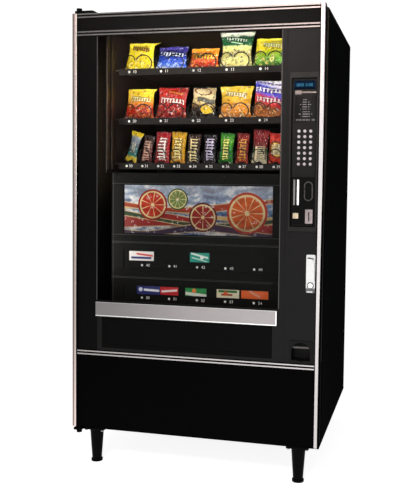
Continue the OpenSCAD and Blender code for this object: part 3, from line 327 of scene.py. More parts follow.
def trim_metal():
    """Bright trims: black between the ribs of the cross trims and along the window-side edges of the side
    trims. Painted shade widens the black downwards on the left trim and on the right trim's door-side edge,
    blackens the side legs and halves the cross trims above the window; painted light makes the left trim
    paler, darker with painted shade away from the window.
    """
    f = brushed("trim_metal", 0.44, 0.28, (40, 40, 900), (1.0, 0.96, 0.955))
    line = 0.0006
    x, y, z = f.spot()
    out = abs(x) - (HALF_WIDTH - EDGE_TRIM)
    on_edge = out > -0.0002
    across = 1 - on_edge
    right = x > 0
    left = (1 - right) * on_edge
    low = z.rise(1.6, 0.5)
    valley = across * (y > DOOR_SKIN - 0.004)
    # Painted shade: the black along the left trim's window-side edge widens downwards, the right trim's
    # door-side edge turns black more towards the bottom, and the side legs are black
    inner_line_and_shade = on_edge * (out < line + 0.0030 * low.either(right))
    shaded_door_edge = (out > EDGE_TRIM - line - 0.0042 * low) * right
    side = (abs(x) > HALF_WIDTH - line) * (y > TRIMS_LOW.y + 0.003)
    black = valley.either(inner_line_and_shade).either(side.either(shaded_door_edge))
    # Painted light: the left trim is paler, most by the window; painted shade darkens its door-side part
    pale = f.mix(out.rise(0.010, 0.005), (0.56, 0.46, 0.43), (0.74, 0.62, 0.59))
    tone = f.mix(left * (0.7 + 0.3 * f.lines), f.tone, pale)
    tone = f.mix(left * out.rise(0.011, 0.014) * 0.9, tone, (0.17, 0.12, 0.10))
    # Painted shade halves the cross trims above the window
    tone = f.mix(across * (z > WINDOW_TOP) * 0.5, tone, 0.0)
    f.paint(colour=f.mix(black, tone, 0.004), metallic=1 - black, specular=0.0)
    return f.paint(roughness=0.22 + 0.15 * f.lines + black * 0.3)


def bar_metal():
    """Delivery bar: satin face with lines along it, darkened towards the left by painted shade, and a
    bright border on its right and lower edges.
    """
    f = brushed("delivery_bar_metal", 0.34, 0.38, (25, 900, 900), (1.0, 0.95, 0.955))
    x, y, _ = f.spot()
    border = y < RAIL_LOW.y + 0.0007
    strip = y > DOOR_SKIN - 0.0002
    # Painted shade: the face darkens towards the left
    satin = f.mix(strip, f.mix(x.rise(0.1, -0.45) * 0.32, f.tone, 0.02), 0.01)
    return f.paint(colour=f.mix(border, satin, 0.86), roughness=0.4 - 0.16 * border + 0.12 * f.lines)


def plated(name, dull, bright, roughness):
    """Bright plating with faint smears."""
    f = Finish(name, metallic=1.0)
    smear = f.grain(55.0, 5.0)
    f.tone = f.mix(smear, dull, bright)
    f.gloss = roughness + 0.12 * smear
    f.skin = f.grain(300.0)
    f.paint(colour=f.tone, roughness=f.gloss)
    return f.bump(f.skin, 0.04)


def slot_metal():
    """Slot plates: a dull left lip and a bright right lip on the note slot, and a worn coin plate."""
    f = Finish("slot_metal", metallic=1.0)
    x, _, z = f.spot()
    lips = f.mix(x > NOTE_SLOT_X, 0.16, 0.92)
    worn = f.mix(f.grain(160.0, 3.0), (0.11, 0.085, 0.085), (0.34, 0.29, 0.29))
    f.paint(colour=f.mix(z < COIN_PLATE_TOP, lips, worn), roughness=0.26 + 0.12 * f.grain(55.0, 5.0))
    return f.bump(f.grain(300.0), 0.04)


def lock_face():
    """Lock plate: satin plating with painted shade round and under the key cylinder, sparing a lip at its
    foot that stays bright as a painted highlight.
    """
    f = plated("lock_face", 0.36, 0.46, 0.22)
    low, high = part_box("lock_cylinder")
    middle = (low + high) / 2
    radius = (high.x - low.x) / 2
    x, _, z = f.spot(shift=(-middle.x, 0.0, -middle.z))
    # Painted shade round the key cylinder and below it, where the lip at the foot is spared as a painted
    # highlight
    ring = ((x * x + z * z) ** 0.5).between(0.0, radius + 0.0035, 0.0006)
    lip = z.between(-0.0265, -0.0215, 0.0008) * abs(x + 0.003).rise(0.0115, 0.0100)
    dark = ring.either(z.rise(-0.006, -0.014) * 0.85 * (1 - lip))
    return f.paint(colour=f.mix(dark, f.tone, 0.05), roughness=f.gloss + 0.2 * dark)


def handle_metal():
    """Swing handle and rotor: satin plating with a slanting groove near the top that painted shade darkens.
    """
    f = plated("handle_metal", 0.48, 0.58, 0.32)
    low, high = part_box("lock_handle")
    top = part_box("lock_plate")[1].z
    x, _, z = f.spot(shift=(-(low.x + high.x) / 2, 0.0, -top))
    groove = abs(z + 0.0135 + 0.16 * x).rise(0.0034, 0.0016) * abs(x).rise(0.0130, 0.0110)
    # Painted shade in the groove
    f.paint(colour=f.mix(groove * 0.9, f.tone, 0.03))
    return f.bump(f.skin - groove * 3.0, 0.08, 0.0003)


def pane():
    """Clear glass: see-through, with a weak reflection that grows towards the edge."""
    f = Finish("window_pane", colour=(0.6, 0.66, 0.66), roughness=0.03, specular=0.5)
    f.paint(alpha=0.018 + 0.014 * f.grain(7.0, 3.0))
    clear = f.node("ShaderNodeBsdfTransparent", sockets={"Color": (0.97, 0.985, 0.98)})
    sheen = f.node("ShaderNodeFresnel", sockets={"IOR": 1.25})
    return f.cover("ShaderNodeMixShader", {0: sheen * 0.5, 1: clear}, 2)


def galvanised(name, level, outside=None):
    """Plain zinc sheet with a spangle; in front of the plane outside, if given, it is painted black."""
    f = Finish(name, metallic=0.8)
    spangle = f.axes(f.cells(70.0, out="Color"))[0]
    colour = f.mix(spangle, level * 0.75, level * 1.2)
    if outside:
        colour = f.mix(f.spot()[1] < outside, colour, 0.01)
    f.paint(colour=colour, roughness=0.36 + 0.2 * spangle)
    return f.bump(f.grain(400.0), 0.06)


def lamp_glass():
    """White lamp tube that glows between its holders."""
    f = Finish("lamp_glass", roughness=0.35, glow_strength=11.0)
    low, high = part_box("lamp")
    z = f.spot()[2]
    lit = z.between(low.z + LAMP_HOLDER, high.z - LAMP_HOLDER, 0.0003)
    ends = z.between(low.z + 0.060, high.z - 0.060, 0.02)
    f.paint(glow=f.mix(lit * (0.55 + 0.45 * ends), 0.0, (1.0, 0.95, 0.84)))
    f.paint(colour=f.mix(lit, 0.55, 0.9))
    return f.bump(f.grain(120.0), 0.03)


def display_glass():
    """Tinted display lens, lit from behind along its middle."""
    f = Finish("display_glass", roughness=0.25, specular=0.008, glow_strength=1.0)
    level = (f.spot()[2] - LENS_LOW.z) / (LENS_HIGH.z - LENS_LOW.z)
    lit = level.between(0.22, 0.86, 0.16)
    dots = f.cells(800.0)
    f.paint(colour=(0.001, 0.003, 0.008))
    f.paint(glow=f.mix(lit * (0.75 + 0.25 * dots), (0.001, 0.002, 0.005), (0.003, 0.016, 0.042)))
    return f.bump(f.grain(300.0), 0.03)


def figure_glass():
    """Pale figures on the display."""
    f = Finish("figure_glow", colour=(0.02, 0.1, 0.16), roughness=0.3, specular=0.02, glow_strength=1.0)
    return f.paint(glow=f.mix(f.grain(500.0), (0.04, 0.20, 0.34), (0.08, 0.30, 0.44)))


def bezel_plastic():
    """Selector bezel: a rim paler than the floor, and its walls and the gap round the floor near black with
    painted shade.
    """
    f = moulded("bezel_plastic", 0.010, 0.42, 0.09)
    y = f.spot()[1]
    rim = y < BEZEL_FACE + 0.0004
    floor = y.between(WELL_FLOOR - 0.0003, WELL_FLOOR + 0.0003, 0.0001)
    wear = f.grain(45.0, 4.0)
    # Painted shade: the walls and the gap round the floor are near black
    well_shaded = f.mix(floor, 0.001, f.mix(wear, 0.009, 0.016))
    worn = f.mix(wear, 0.017, 0.034)
    return f.paint(colour=f.mix(rim, well_shaded, worn), roughness=0.75 - 0.3 * floor.either(rim))


def lever_plastic():
    """Coin lever: glossy black, with patches of a paler rim round its dish painted as highlights."""
    f = moulded("lever_plastic", 0.003, 0.14, 0.05)
    rim = f.spot()[1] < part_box("coin_lever")[0].y + 0.0003
    # Painted highlights on patches of the rim
    return f.paint(colour=f.mix(rim * f.grain(70.0, 4.0).rise(0.25, 0.60), 0.0008, 0.12))


def panel_finish():
    """Can panel: black plastic, with paler edges along its seams, its recesses and its border that are
    painted highlights, uneven along their length.
    """
    f = moulded("panel_plastic", 0.005, 0.45, 0.07)
    x, _, z = f.spot()
    half, soft = 0.0009, 0.0005
    edge = abs(x - (PANEL_LOW.x + PANEL_HIGH.x) / 2).between(*PANEL_BORDER, soft)
    for level in PANEL_EDGES:
        edge = edge.either(z.between(level - half, level + half, soft))
    wear = f.grain(60.0, 4.0)
    # Painted highlights along the edges
    return f.paint(colour=f.mix(edge * (0.4 + 0.6 * wear), f.mix(wear, 0.004, 0.007), 0.08))


def cup_plastic():
    """Coin cup with a pale stripe on its baffle that is a painted highlight."""
    f = moulded("cup_plastic", 0.012, 0.4, 0.1)
    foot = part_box("coin_cup")[0].z
    _, y, z = f.spot()
    # Painted highlight: a pale stripe across the baffle
    baffle_highlight = y.between(DOOR_SKIN + 0.0075, DOOR_SKIN + 0.0095, 0.0003)
    baffle_highlight = baffle_highlight * z.between(foot + 0.053, foot + 0.060, 0.0004)
    return f.paint(colour=f.mix(baffle_highlight, f.mix(f.grain(40.0), 0.004, 0.009), 0.16))


def mark_masks(f, kind, du, dv, tilt, seed):
    """Masks of a plain mark and of the shadow round it."""
    if kind in ("blocks", "signs"):
        along, across = (dv, du) if kind == "blocks" else (du, tilt)
        rows = along * 3.6
        lot = f.lot(rows.whole() + 9.3 * seed)
        reach = abs(across + 0.5 * (lot - 0.5)) - 0.35 * lot
        stem = abs(across + 0.46 - 0.92 * (lot > 0.5))
        bar = abs(rows.part() - 0.5)
        inside = abs(along).rise(1.02, 0.98)
        mask = (bar.rise(0.24, 0.16) * reach.rise(0.62, 0.50)).either(stem.rise(0.18, 0.10))
        shadow = (bar.rise(0.46, 0.38) * reach.rise(0.85, 0.70)).either(stem.rise(0.38, 0.28))
        return mask * inside, shadow * inside
    if kind == "wave":
        wave = abs(tilt + 0.5 * (du * 3.0).sine())
        mask = wave.rise(1.05, 0.9) * abs(du).rise(1.02, 0.97)
        return mask, wave.rise(1.7, 1.4) * abs(du).rise(1.12, 1.05)
    reach = tilt * tilt + du * du
    if kind == "oval":
        return reach.rise(1.08, 0.92), reach.rise(1.9, 1.5)
    ring = reach.between(0.62, 1.0, 0.08)
    return ring, ring


def film_print(name, pack, seed):
    """Printed pack film: bands of colour up the pack, plain shapes on it, crinkles and ribbed seals, with
    painted shade in its folds and painted glints and highlights along its creases.
    """
    f = Finish(name, specular=0.16, coat=0.07, coat_roughness=0.15, metallic=0.12)
    flat = f.node("ShaderNodeUVMap", {"uv_map": "film"})
    u, v, _ = f.axes(flat)
    where = f.moved(flat, "ADD", (seed, seed * 0.7, seed))
    level = v + (f.grain(5.0, 3.0, where) - 0.5) * 0.10 + (u - 0.5) * pack.slope
    colour = f.ramp(level, pack.bands)
    if pack.heap:
        share, pale, toasted = pack.heap
        chip = f.cells(5.5, where)
        fill = level.rise(share + 0.05, share - 0.05)
        toast = f.mix(f.grain(26.0, 3.0, where).rise(0.38, 0.62), pale, toasted)
        colour = f.mix(chip.rise(0.46, 0.40) * fill, colour, toast)
        colour = f.mix(chip.between(0.43, 0.50, 0.03) * fill * 0.5, colour, 0.015)
    for kind, code, cu, cv, ru, rv in pack.marks:
        dv = (v - cv) / rv
        tilt = dv + (u - 0.5) * 0.12 / rv
        mask, shadow = mark_masks(f, kind, (u - cu) / ru, dv, tilt, seed)
        colour = f.mix(shadow * 0.75, colour, 0.01)
        colour = f.mix(mask, colour, code)
    crease = f.cells(5.0, where, "DISTANCE_TO_EDGE").rise(0.0, 0.11)
    shine = f.grain(11.0, 4.0, where)
    ribs = (u * 280.0).sine() * 0.3 * (v.rise(0.075, 0.06) + v.rise(0.925, 0.94))
    fold_shade = f.grain(8.0, 4.0, where).rise(0.46, 0.33)
    painted_glint = f.grain(12.0, 3.0, where).rise(0.61, 0.70)
    # Painted shade darkens the folds
    colour = f.mix(pack.shade + fold_shade * 0.6, colour, 0.012)
    # Painted glints, and painted highlights along the creases
    f.paint(colour=f.mix(painted_glint * 0.5 + (1 - crease) * 0.05, colour, 0.92), roughness=0.2 + 0.2 * shine)
    return f.bump(crease * 0.9 + shine * 0.8 + ribs, 0.55, 0.0016)


# Ribbons of the picture sheet: colour, middle height, swing, waves, phase, width
RIBBONS = (
    ("8e1512", 0.20, 0.10, 1.5, 0.4, 0.13), ("c4a468", 0.44, 0.12, 1.3, 1.3, 0.035),
    ("0c3c1c", 0.34, 0.15, 1.1, 2.6, 0.050), ("12103c", 0.08, 0.07, 2.2, 3.9, 0.070),
    ("96300e", 0.62, 0.12, 1.2, 3.3, 0.060),
)
# Its fruit slices: rind, flesh, middle, radius, wedges
SLICES = (
    ("8e120e", "d8452c", 0.62, 0.60, 0.32, 9), ("a8300c", "e8742a", 2.62, 0.46, 0.42, 11),
    ("560a12", "bc3530", 1.70, 0.36, 0.30, 8), ("164a20", "a4b468", 1.16, 0.72, 0.22, 10),
)


def picture_print(low, high):
    """Printed sheet: fruit slices and waving ribbons over a cloudy splash."""
    f = Finish("picture_print", roughness=0.36, specular=0.15)
    u, v = f.sheet(low, high.z - low.z, high.z - low.z)
    wisps = f.grain(75.0, 6.0)
    splash = f.grain(30.0, 8.0, f.place((0.45, 1.0, 1.6)))
    colour = f.ramp(
        f.grain(14.0, 7.0) * 0.40 + splash * 0.35 + wisps * 0.25,
        [(0.40, "2c4470"), (0.47, "5f7ea6"), (0.51, "9aa6ba"), (0.55, "d0d2d6"), (0.60, "f0ecea")],
    )
    colour = f.mix(v.rise(0.45, 1.0) * 0.40, colour, "c8ccd2")
    for code, centre, swing, waves, phase, width in RIBBONS:
        path = abs(v - centre - swing * (u * waves + phase).sine())
        out = path - width * (0.75 + 0.25 * (u * 2.3 + phase).sine())
        streak = f.mix(wisps, code, f.mix(0.04, code, 0.8))
        colour = f.mix(out.rise(0.026, 0.010), colour, "c8b488")
        colour = f.mix(out.rise(0.010, -0.006), colour, streak)
    for rind, flesh, cu, cv, radius, wedges in SLICES:
        across = u - cu
        rise = v - cv
        reach = (across * across + rise * rise) ** 0.5 / radius
        wedge = abs((rise.angle(across) * (wedges / 2)).sine()).rise(0.10, 0.28)
        pulp = f.mix(wisps * 0.8, rind, flesh)
        fruit = f.mix(wedge * reach.between(0.12, 0.78, 0.03), "d8c694", pulp)
        fruit = f.mix(reach.rise(0.86, 0.90), fruit, rind)
        colour = f.mix(reach.rise(1.01, 0.98), colour, fruit)
    drops = f.cells(46.0).between(0.20, 0.28, 0.02) * splash.rise(0.50, 0.60)
    colour = f.mix(v.rise(0.7, 0.0) * 0.45 + splash.rise(0.52, 0.36) * 0.25, colour, "300a0c")
    f.paint(colour=f.mix(drops * 0.5, colour, "e9ecf0"))
    return f.bump(f.grain(260.0), 0.05)


def card_print(name, low, high, base, bands, dot=None):
    """Printed drink card: a plain ground with bands and a dot."""
    f = Finish(name, roughness=0.35, specular=0.15)
    size = high - low
    u, v = f.sheet(low, size.x, size.z)
    colour = f.mix(f.grain(60.0, 3.0) * 0.08, base, 0.6)
    for code, low_v, high_v, slope, low_u, high_u in bands:
        mask = (v + (u - 0.5) * slope).between(low_v, high_v, 0.03) * u.between(low_u, high_u, 0.02)
        colour = f.mix(mask, colour, code)
    if dot:
        code, cu, cv, radius = dot
        du = (u - cu) * (size.x / size.z)
        dv = v - cv
        inside = (du * du + dv * dv).rise(radius ** 2 * 1.2, radius ** 2 * 0.85)
        colour = f.mix(inside, colour, code)
    f.paint(colour=colour)
    return f.bump(f.grain(300.0), 0.05)


def label_print(low, high):
    """Dark instruction plate with rows of plain grey bars."""
    f = Finish("label_print", roughness=0.45, specular=0.1)
    u, v = f.sheet(low, high.x - low.x, high.z - low.z)
    off = abs(u - 0.5)
    rows = v * 11.0
    length = f.lot(rows.whole() + 3.0) * 0.24
    bar = rows.part().between(0.34, 0.72, 0.06) * off.rise(length + 0.10, length + 0.08)
    inside = v.between(0.18, 0.93, 0.01) * (1 - v.between(0.42, 0.50, 0.01))
    broken = f.grain(150.0, 1.0, f.place((1, 1, 0.1))).rise(0.40, 0.47)
    foot = v.between(0.07, 0.13, 0.012) * off.rise(0.46, 0.44)
    f.paint(colour=f.mix((bar * inside).either(foot * 0.6) * broken, 0.006, 0.30))
    return f.bump(f.grain(300.0), 0.04)


def lit_square():
    """Small cream window, lit from behind."""
    f = Finish("lit_square", roughness=0.3, coat=0.4, glow_strength=0.35)
    cloud = f.grain(130.0, 3.0)
    f.paint(colour=f.mix(cloud, "b0a080", "e4dcc0"), glow=f.mix(cloud, "8c7c5c", "d4c8a4"))
    return f.bump(f.cells(900.0), 0.1)


def link(name, data):
    made = bpy.data.objects.new(name, data)
    bpy.context.scene.collection.objects.link(made)
    return made


def shade(mesh, smooth):
    """Smooth shading, with sharp edges past an angle in degrees."""
    mesh.shade_smooth()
    mesh.set_sharp_from_angle(angle=math.radians(smooth))


def settle(made, body, replaced=()):
    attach(made, body)
    if replaced:
        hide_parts(*replaced)


def piece(name, bm, finish, body, replaced=(), smooth=40):
    """Turns a bmesh into a finished piece that rides on a body."""
    mesh = bpy.data.meshes.new(name)
    bm.to_mesh(mesh)
    bm.free()
    mesh.materials.append(finish.material)
    shade(mesh, smooth)
    settle(link(name, mesh), body, replaced)


def plates(name, boxes, finish, body, edge):
    """One piece made of boxes with softened edges."""
    bm = bmesh.new()
    for low, high in boxes:
        low, high = Vector(low), Vector(high)
        made = bmesh.ops.create_cube(bm, size=1.0)["verts"]
        for v in made:
            v.co = (low + high) / 2 + Vector(c * s for c, s in zip(v.co, high - low))
        edges = list({e: None for v in made for e in v.link_edges})
        bmesh.ops.bevel(
            bm, geom=edges, offset=edge, segments=2, affect="EDGES", profile=0.5, clamp_overlap=True
        )
    piece(name, bm, finish, body)


def frame_round(name, low, high, profile, finish, body):
    """Frame in X and Z whose section is a closed profile of (inset, y) points."""
    bm = bmesh.new()
    rings = []
    for inset, y in profile:
        left, foot = (c + inset for c in low)
        right, top = (c - inset for c in high)
        corners = ((left, foot), (right, foot), (right, top), (left, top))
        rings.append([bm.verts.new((x, y, z)) for x, z in corners])
    for here, there in zip(rings, rings[1:] + rings[:1]):
        for j in range(4):
            k = (j + 1) % 4
            bm.faces.new((here[j], here[k], there[k], there[j]))
    bmesh.ops.recalc_face_normals(bm, faces=bm.faces)
    piece(name, bm, finish, body)


class Pattern(Graph):
    """A Geometry Nodes tree with named inputs that is run once on points and made a plain mesh."""

    KINDS = {float: "NodeSocketFloat", int: "NodeSocketInt", tuple: "NodeSocketVector"}

    def __init__(self, name, **inputs):
        super().__init__(bpy.data.node_groups.new(name, "GeometryNodeTree"))
        face = self.tree.interface
        for way in ("OUTPUT", "INPUT"):
            face.new_socket("Geometry", in_out=way, socket_type="NodeSocketGeometry")
        self.keys = {}
        for label, kind in inputs.items():
            socket_type = self.KINDS.get(kind, "NodeSocketMaterial")
            self.keys[label] = face.new_socket(label, in_out="INPUT", socket_type=socket_type).identifier
        self.inlet = self.tree.nodes.new("NodeGroupInput")
        self.outlet = self.tree.nodes.new("NodeGroupOutput")

    def given(self, label):
        return Value(self, self.inlet.outputs[label])

    def close(self, shape, turn=(0, 0, 0)):
        """Puts the shape on every point, made real and painted."""
        spread = self.node(
            "GeometryNodeInstanceOnPoints",
            sockets={"Points": self.given("Geometry"), "Instance": shape, "Rotation": turn},
        )
        real = self.node("GeometryNodeRealizeInstances", sockets={"Geometry": spread})
        painted = self.node(
            "GeometryNodeSetMaterial", sockets={"Geometry": real, "Material": self.given("finish")}
        )
        self.feed(self.outlet.inputs[0], painted)

    def run(self, name, points, finish, smooth=40, **sizes):
        mesh = bpy.data.meshes.new(name)
        mesh.from_pydata(points, [], [])
        made = link(name, mesh)
        modifier = made.modifiers.new(name, "NODES")
        modifier.node_group = self.tree
        for label, value in {**sizes, "finish": finish.material}.items():
            modifier[self.keys[label]] = value
        whole = made.evaluated_get(bpy.context.evaluated_depsgraph_get())
        final = bpy.data.meshes.new_from_object(whole)
        made.modifiers.clear()
        made.data = final
        shade(final, smooth)
        return made


def coil_pattern():
    """A round wire wound along +Y on each point."""
    p = Pattern(
        "wound_coil", turns=float, hand=float, start=float, radius=float, wire=float, length=float,
        steps=int, sides=int, finish=None,
    )
    share = p.node("GeometryNodeInputIndex") / (p.given("steps") - 1)
    angle = p.given("start") + p.given("hand") * p.given("turns") * share * math.tau
    radius = p.given("radius")
    route = p.node(
        "ShaderNodeCombineXYZ",
        sockets={"X": radius * angle.cosine(), "Y": p.given("length") * share, "Z": radius * angle.sine()},
    )
    line = p.node("GeometryNodeMeshLine", sockets={"Count": p.given("steps")})
    bent = p.node("GeometryNodeSetPosition", sockets={"Geometry": line, "Position": route})
    path = p.node("GeometryNodeMeshToCurve", sockets={"Mesh": bent})
    section = {"Resolution": p.given("sides"), "Radius": p.given("wire")}
    ring = p.node("GeometryNodeCurvePrimitiveCircle", sockets=section)
    sweep = {"Curve": path, "Profile Curve": ring, "Fill Caps": True}
    p.close(p.node("GeometryNodeCurveToMesh", sockets=sweep))
    return p


def stud_pattern():
    """A tapered stud on each point, such as a bolt head, a screw or a marker dot."""
    p = Pattern("stud", radius=float, taper=float, height=float, sides=int, turn=tuple, finish=None)
    head = p.node(
        "GeometryNodeMeshCone",
        sockets={
            "Vertices": p.given("sides"), "Radius Top": p.given("radius") * p.given("taper"),
            "Radius Bottom": p.given("radius"), "Depth": p.given("height"),
        },
    )
    p.close(head, p.given("turn"))
    return p


# Turns of a stud
FORWARD = (math.pi / 2, 0.0, 0.0)
BACKWARD = (-math.pi / 2, 0.0, 0.0)
DOWNWARD = (math.pi, 0.0, 0.0)


def lane_middle(i, width):
    return TRAYS_LOW.x + (i + 0.5) * width


NUMBER_DEPTH = 0.00015


def numbers(name, entries, size, finish, body):
    """Flat figures that face the front; an entry is a text and the middle of its place."""
    bm = bmesh.new()
    for text, place in entries:
        curve = bpy.data.curves.new("figure", "FONT")
        curve.body = text
        curve.size = size
        curve.extrude = NUMBER_DEPTH
        curve.align_x = "CENTER"
        curve.align_y = "CENTER"
        shape = link("figure", curve)
        whole = shape.evaluated_get(bpy.context.evaluated_depsgraph_get())
        flat = bpy.data.meshes.new_from_object(whole)
        flat.transform(Matrix.Translation(place) @ Matrix.Rotation(math.pi / 2, 4, "X"))
        bm.from_mesh(flat)
        bpy.data.objects.remove(shape)
        bpy.data.meshes.remove(flat)
    piece(name, bm, finish, body)


def film_point(pack, seed, u, v, side):
    """A point of a pack's film: u runs from -1 to 1 across, v from 0 to 1 up, side is -1 in front."""
    seal = FILM_SEAL / pack.height
    k = min(max((v - seal) / (1 - 2 * seal), 0.0), 1.0)
    puff = math.sin(math.pi * k) ** 0.62
    belly = max(0.0, 1 - abs(u) ** 2.3) ** 0.8
    gap = min(k, 1 - k) * pack.height
    pleat = math.exp(-gap / PLEAT_REACH) * math.sin(9.0 * u + 5.0 * seed + side) * math.sin(math.pi * k)
    dent = noise.noise((1.7 * u + seed, 2.4 * v - seed, 3.1 * side + seed))
    fine = noise.noise((5.2 * u - seed, 6.0 * v + seed, side + 2.0 * seed))
    edge = 1 - abs(u) ** 6
    swell = pack.depth / 2 * puff * belly * (1 + pack.crumple * (0.26 * dent + 0.12 * fine))
    swell += edge * (0.0034 * pleat + 0.0008 * pack.crumple * fine * puff)
    sway = 0.0016 * math.sin(2.2 * u + 3.0 * seed) * (2 * v - 1)
    sway += 0.0022 * noise.noise((2.4 * u, 3.0 * v, seed))
    half = (pack.foot + (pack.top - pack.foot) * v) / 2 * (1 - pack.pinch * puff)
    half += pack.flap * max(u, 0.0) * max(0.0, (v - FLAP_FROM) / (1 - FLAP_FROM)) ** 2
    x = u * half * (1 + 0.03 * pack.crumple * noise.noise((seed, 5.0 * v, 2.0 * u)))
    y = side * max(swell, 0.0) + sway * (1 - puff * 0.5) + side * 0.0003 * edge
    z = v * pack.height + 0.0035 * v ** 3 * noise.noise((2.0 * u, seed, 0.0))
    over_wires = sum(math.exp(-((x - wire) / ARCH_WIDTH) ** 4) for wire in pack.wires)
    return x, y, z + ARCH_RISE * over_wires * max(0.0, 1 - z / ARCH_REACH)


def film_pack(name, middle, floor, pack, finish, replaced, seed):
    """Pillow pack of film: a lofted front and back that meet at crimped seals, with pleats and dents."""
    columns, rows = FILM_CELLS
    lean = math.radians(pack.lean)
    bm = bmesh.new()
    film = bm.loops.layers.uv.new("film")
    grid = {}
    for side in (-1, 1):
        for i in range(columns + 1):
            for j in range(rows + 1):
                if side == 1 and (i in (0, columns) or j in (0, rows)):
                    grid[side, i, j] = grid[-1, i, j]
                    continue
                x, y, z = film_point(pack, seed, 2 * i / columns - 1, j / rows, side)
                leant = x + z * math.tan(lean)
                raised = z - x * math.sin(lean) * pack.stiff
                grid[side, i, j] = bm.verts.new((leant, y + z * PACK_REST, raised))
    lowest = min(v.co.z for v in bm.verts)
    shift = Vector((middle + pack.shift, STOCK_Y, floor + REST - lowest))
    for v in bm.verts:
        v.co += shift
    for side in (-1, 1):
        for i in range(columns):
            for j in range(rows):
                ring = [(i, j), (i + 1, j), (i + 1, j + 1), (i, j + 1)][::-side]
                face = bm.faces.new([grid[side, a, b] for a, b in ring])
                for corner, (a, b) in zip(face.loops, ring):
                    corner[film].uv = (a / columns, b / rows)
    piece(name, bm, finish, "cabinet", replaced, smooth=80)


# Finishes of the CAD nodes
CABINET_BLACK = dict(
    dark=0.0040, light=0.0056, roughness=0.62, specular=0.0012, pebble=900.0, tint=(0.8, 1.05, 0.95)
)
KEYS = " ".join(node_name for node_name in nodes if node_name.startswith("key_"))
NODE_FINISHES = (
    (enamel("cabinet_paint", **CABINET_BLACK), "base_pan hinge_brackets"),
    (enamel("shell_paint", lit_liner=(0.085, 0.062, 0.046), **CABINET_BLACK), "side_panels top_panel"),
    (enamel("leg_paint", 0.0030, 0.0050, 0.34, 0.02, 900.0), "legs"),
    (enamel("door_paint", 0.0010, 0.0020, 0.46, 0.055), "door_header hinge_stile"),
    # A darker copy of the door paint, as painted shade on the kick panel
    (enamel("kick_paint", 0.0008, 0.0016, 0.46, 0.016), "kick_panel"),
    # A paler copy of the door paint, as painted light on the lock stile
    (enamel("lock_stile_paint", 0.0030, 0.0050, 0.46, 0.145, seam=WINDOW_RIGHT + 0.022), "lock_stile"),
    (tray_enamel(), "bay_walls snack_trays"),
    (galvanised("back_zinc", 0.30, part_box("back_panel")[1].y - PAINT), "back_panel"),
    (galvanised("zinc_sheet", 0.42), "can_cooler cooling_unit control_box"),
    (panel_finish(), "can_panel"),
    (moulded("flap_plastic", 0.0022, 0.42, 0.04), "delivery_flap"),
    (moulded("black_plastic", 0.006, 0.36, 0.12), "delivery_bin"),
    (moulded("money_plastic", 0.003, 0.36, 0.05), "money_plate"),
    (moulded("motor_plastic", 0.45, 0.5, 0.3, (1.0, 0.97, 0.9)), "coil_motors"),
    (moulded("case_plastic", 0.05, 0.5), "coin_changer bill_validator"),
    (moulded("key_plastic", 0.80, 0.30, 0.5, (0.99, 0.95, 1.0)), KEYS),
    (bezel_plastic(), "selector_bezel"),
    (lever_plastic(), "coin_lever"),
    (cup_plastic(), "coin_cup"),
    (pane(), "window_glass"),
    (display_glass(), "display_lens"),
    (lamp_glass(), "lamp"),
    (trim_metal(), "bright_trims"),
    (bar_metal(), "delivery_bar"),
    (slot_metal(), "slot_plates"),
    (lock_face(), "lock_plate"),
    (handle_metal(), "lock_rotor lock_handle"),
    (brushed("turned_steel", 0.7, 0.22, (300, 20, 300)), "lock_cylinder"),
)
for coat, names in NODE_FINISHES:
    for node_name in names.split():
        materials = nodes[node_name].data.materials
        materials.clear()
        materials.append(coat.material)

# Coils at their full count of turns
coils = coil_pattern()
COIL_SIZES = dict(
    finish=brushed("wire_steel", 0.035, 0.34, (60, 300, 60)), turns=float(COIL_TURNS), radius=COIL_RADIUS,
    wire=WIRE_RADIUS, length=COIL_LENGTH, steps=STEPS_PER_TURN * COIL_TURNS + 1, sides=7,
)


def wind(name, floors, lanes, width, offset, hand, replaced):
    """One coil in each lane, with a wire below the middle of the pack that stands in it."""
    places = [lane_middle(i, width) + offset for i in range(lanes)]
    points = [(x, COIL_FRONT, floor + COIL_AXIS) for floor in floors for x in places]
    wound = coils.run(name, points, hand=hand, start=-hand * STOCK_ANGLE - math.pi / 2, **COIL_SIZES)
    settle(wound, "cabinet", replaced)


wind("chip_coils_left", TRAY_FLOORS[:2], LANES, CHIP_LANE, -COIL_PAIR / 2, 1.0, ("chip_coils",))
wind("chip_coils_right", TRAY_FLOORS[:2], LANES, CHIP_LANE, COIL_PAIR / 2, -1.0, ("chip_coils",))
wind("candy_coils_wound", TRAY_FLOORS[2:], 2 * LANES, CANDY_LANE, 0.0, 1.0, ("candy_coils",))

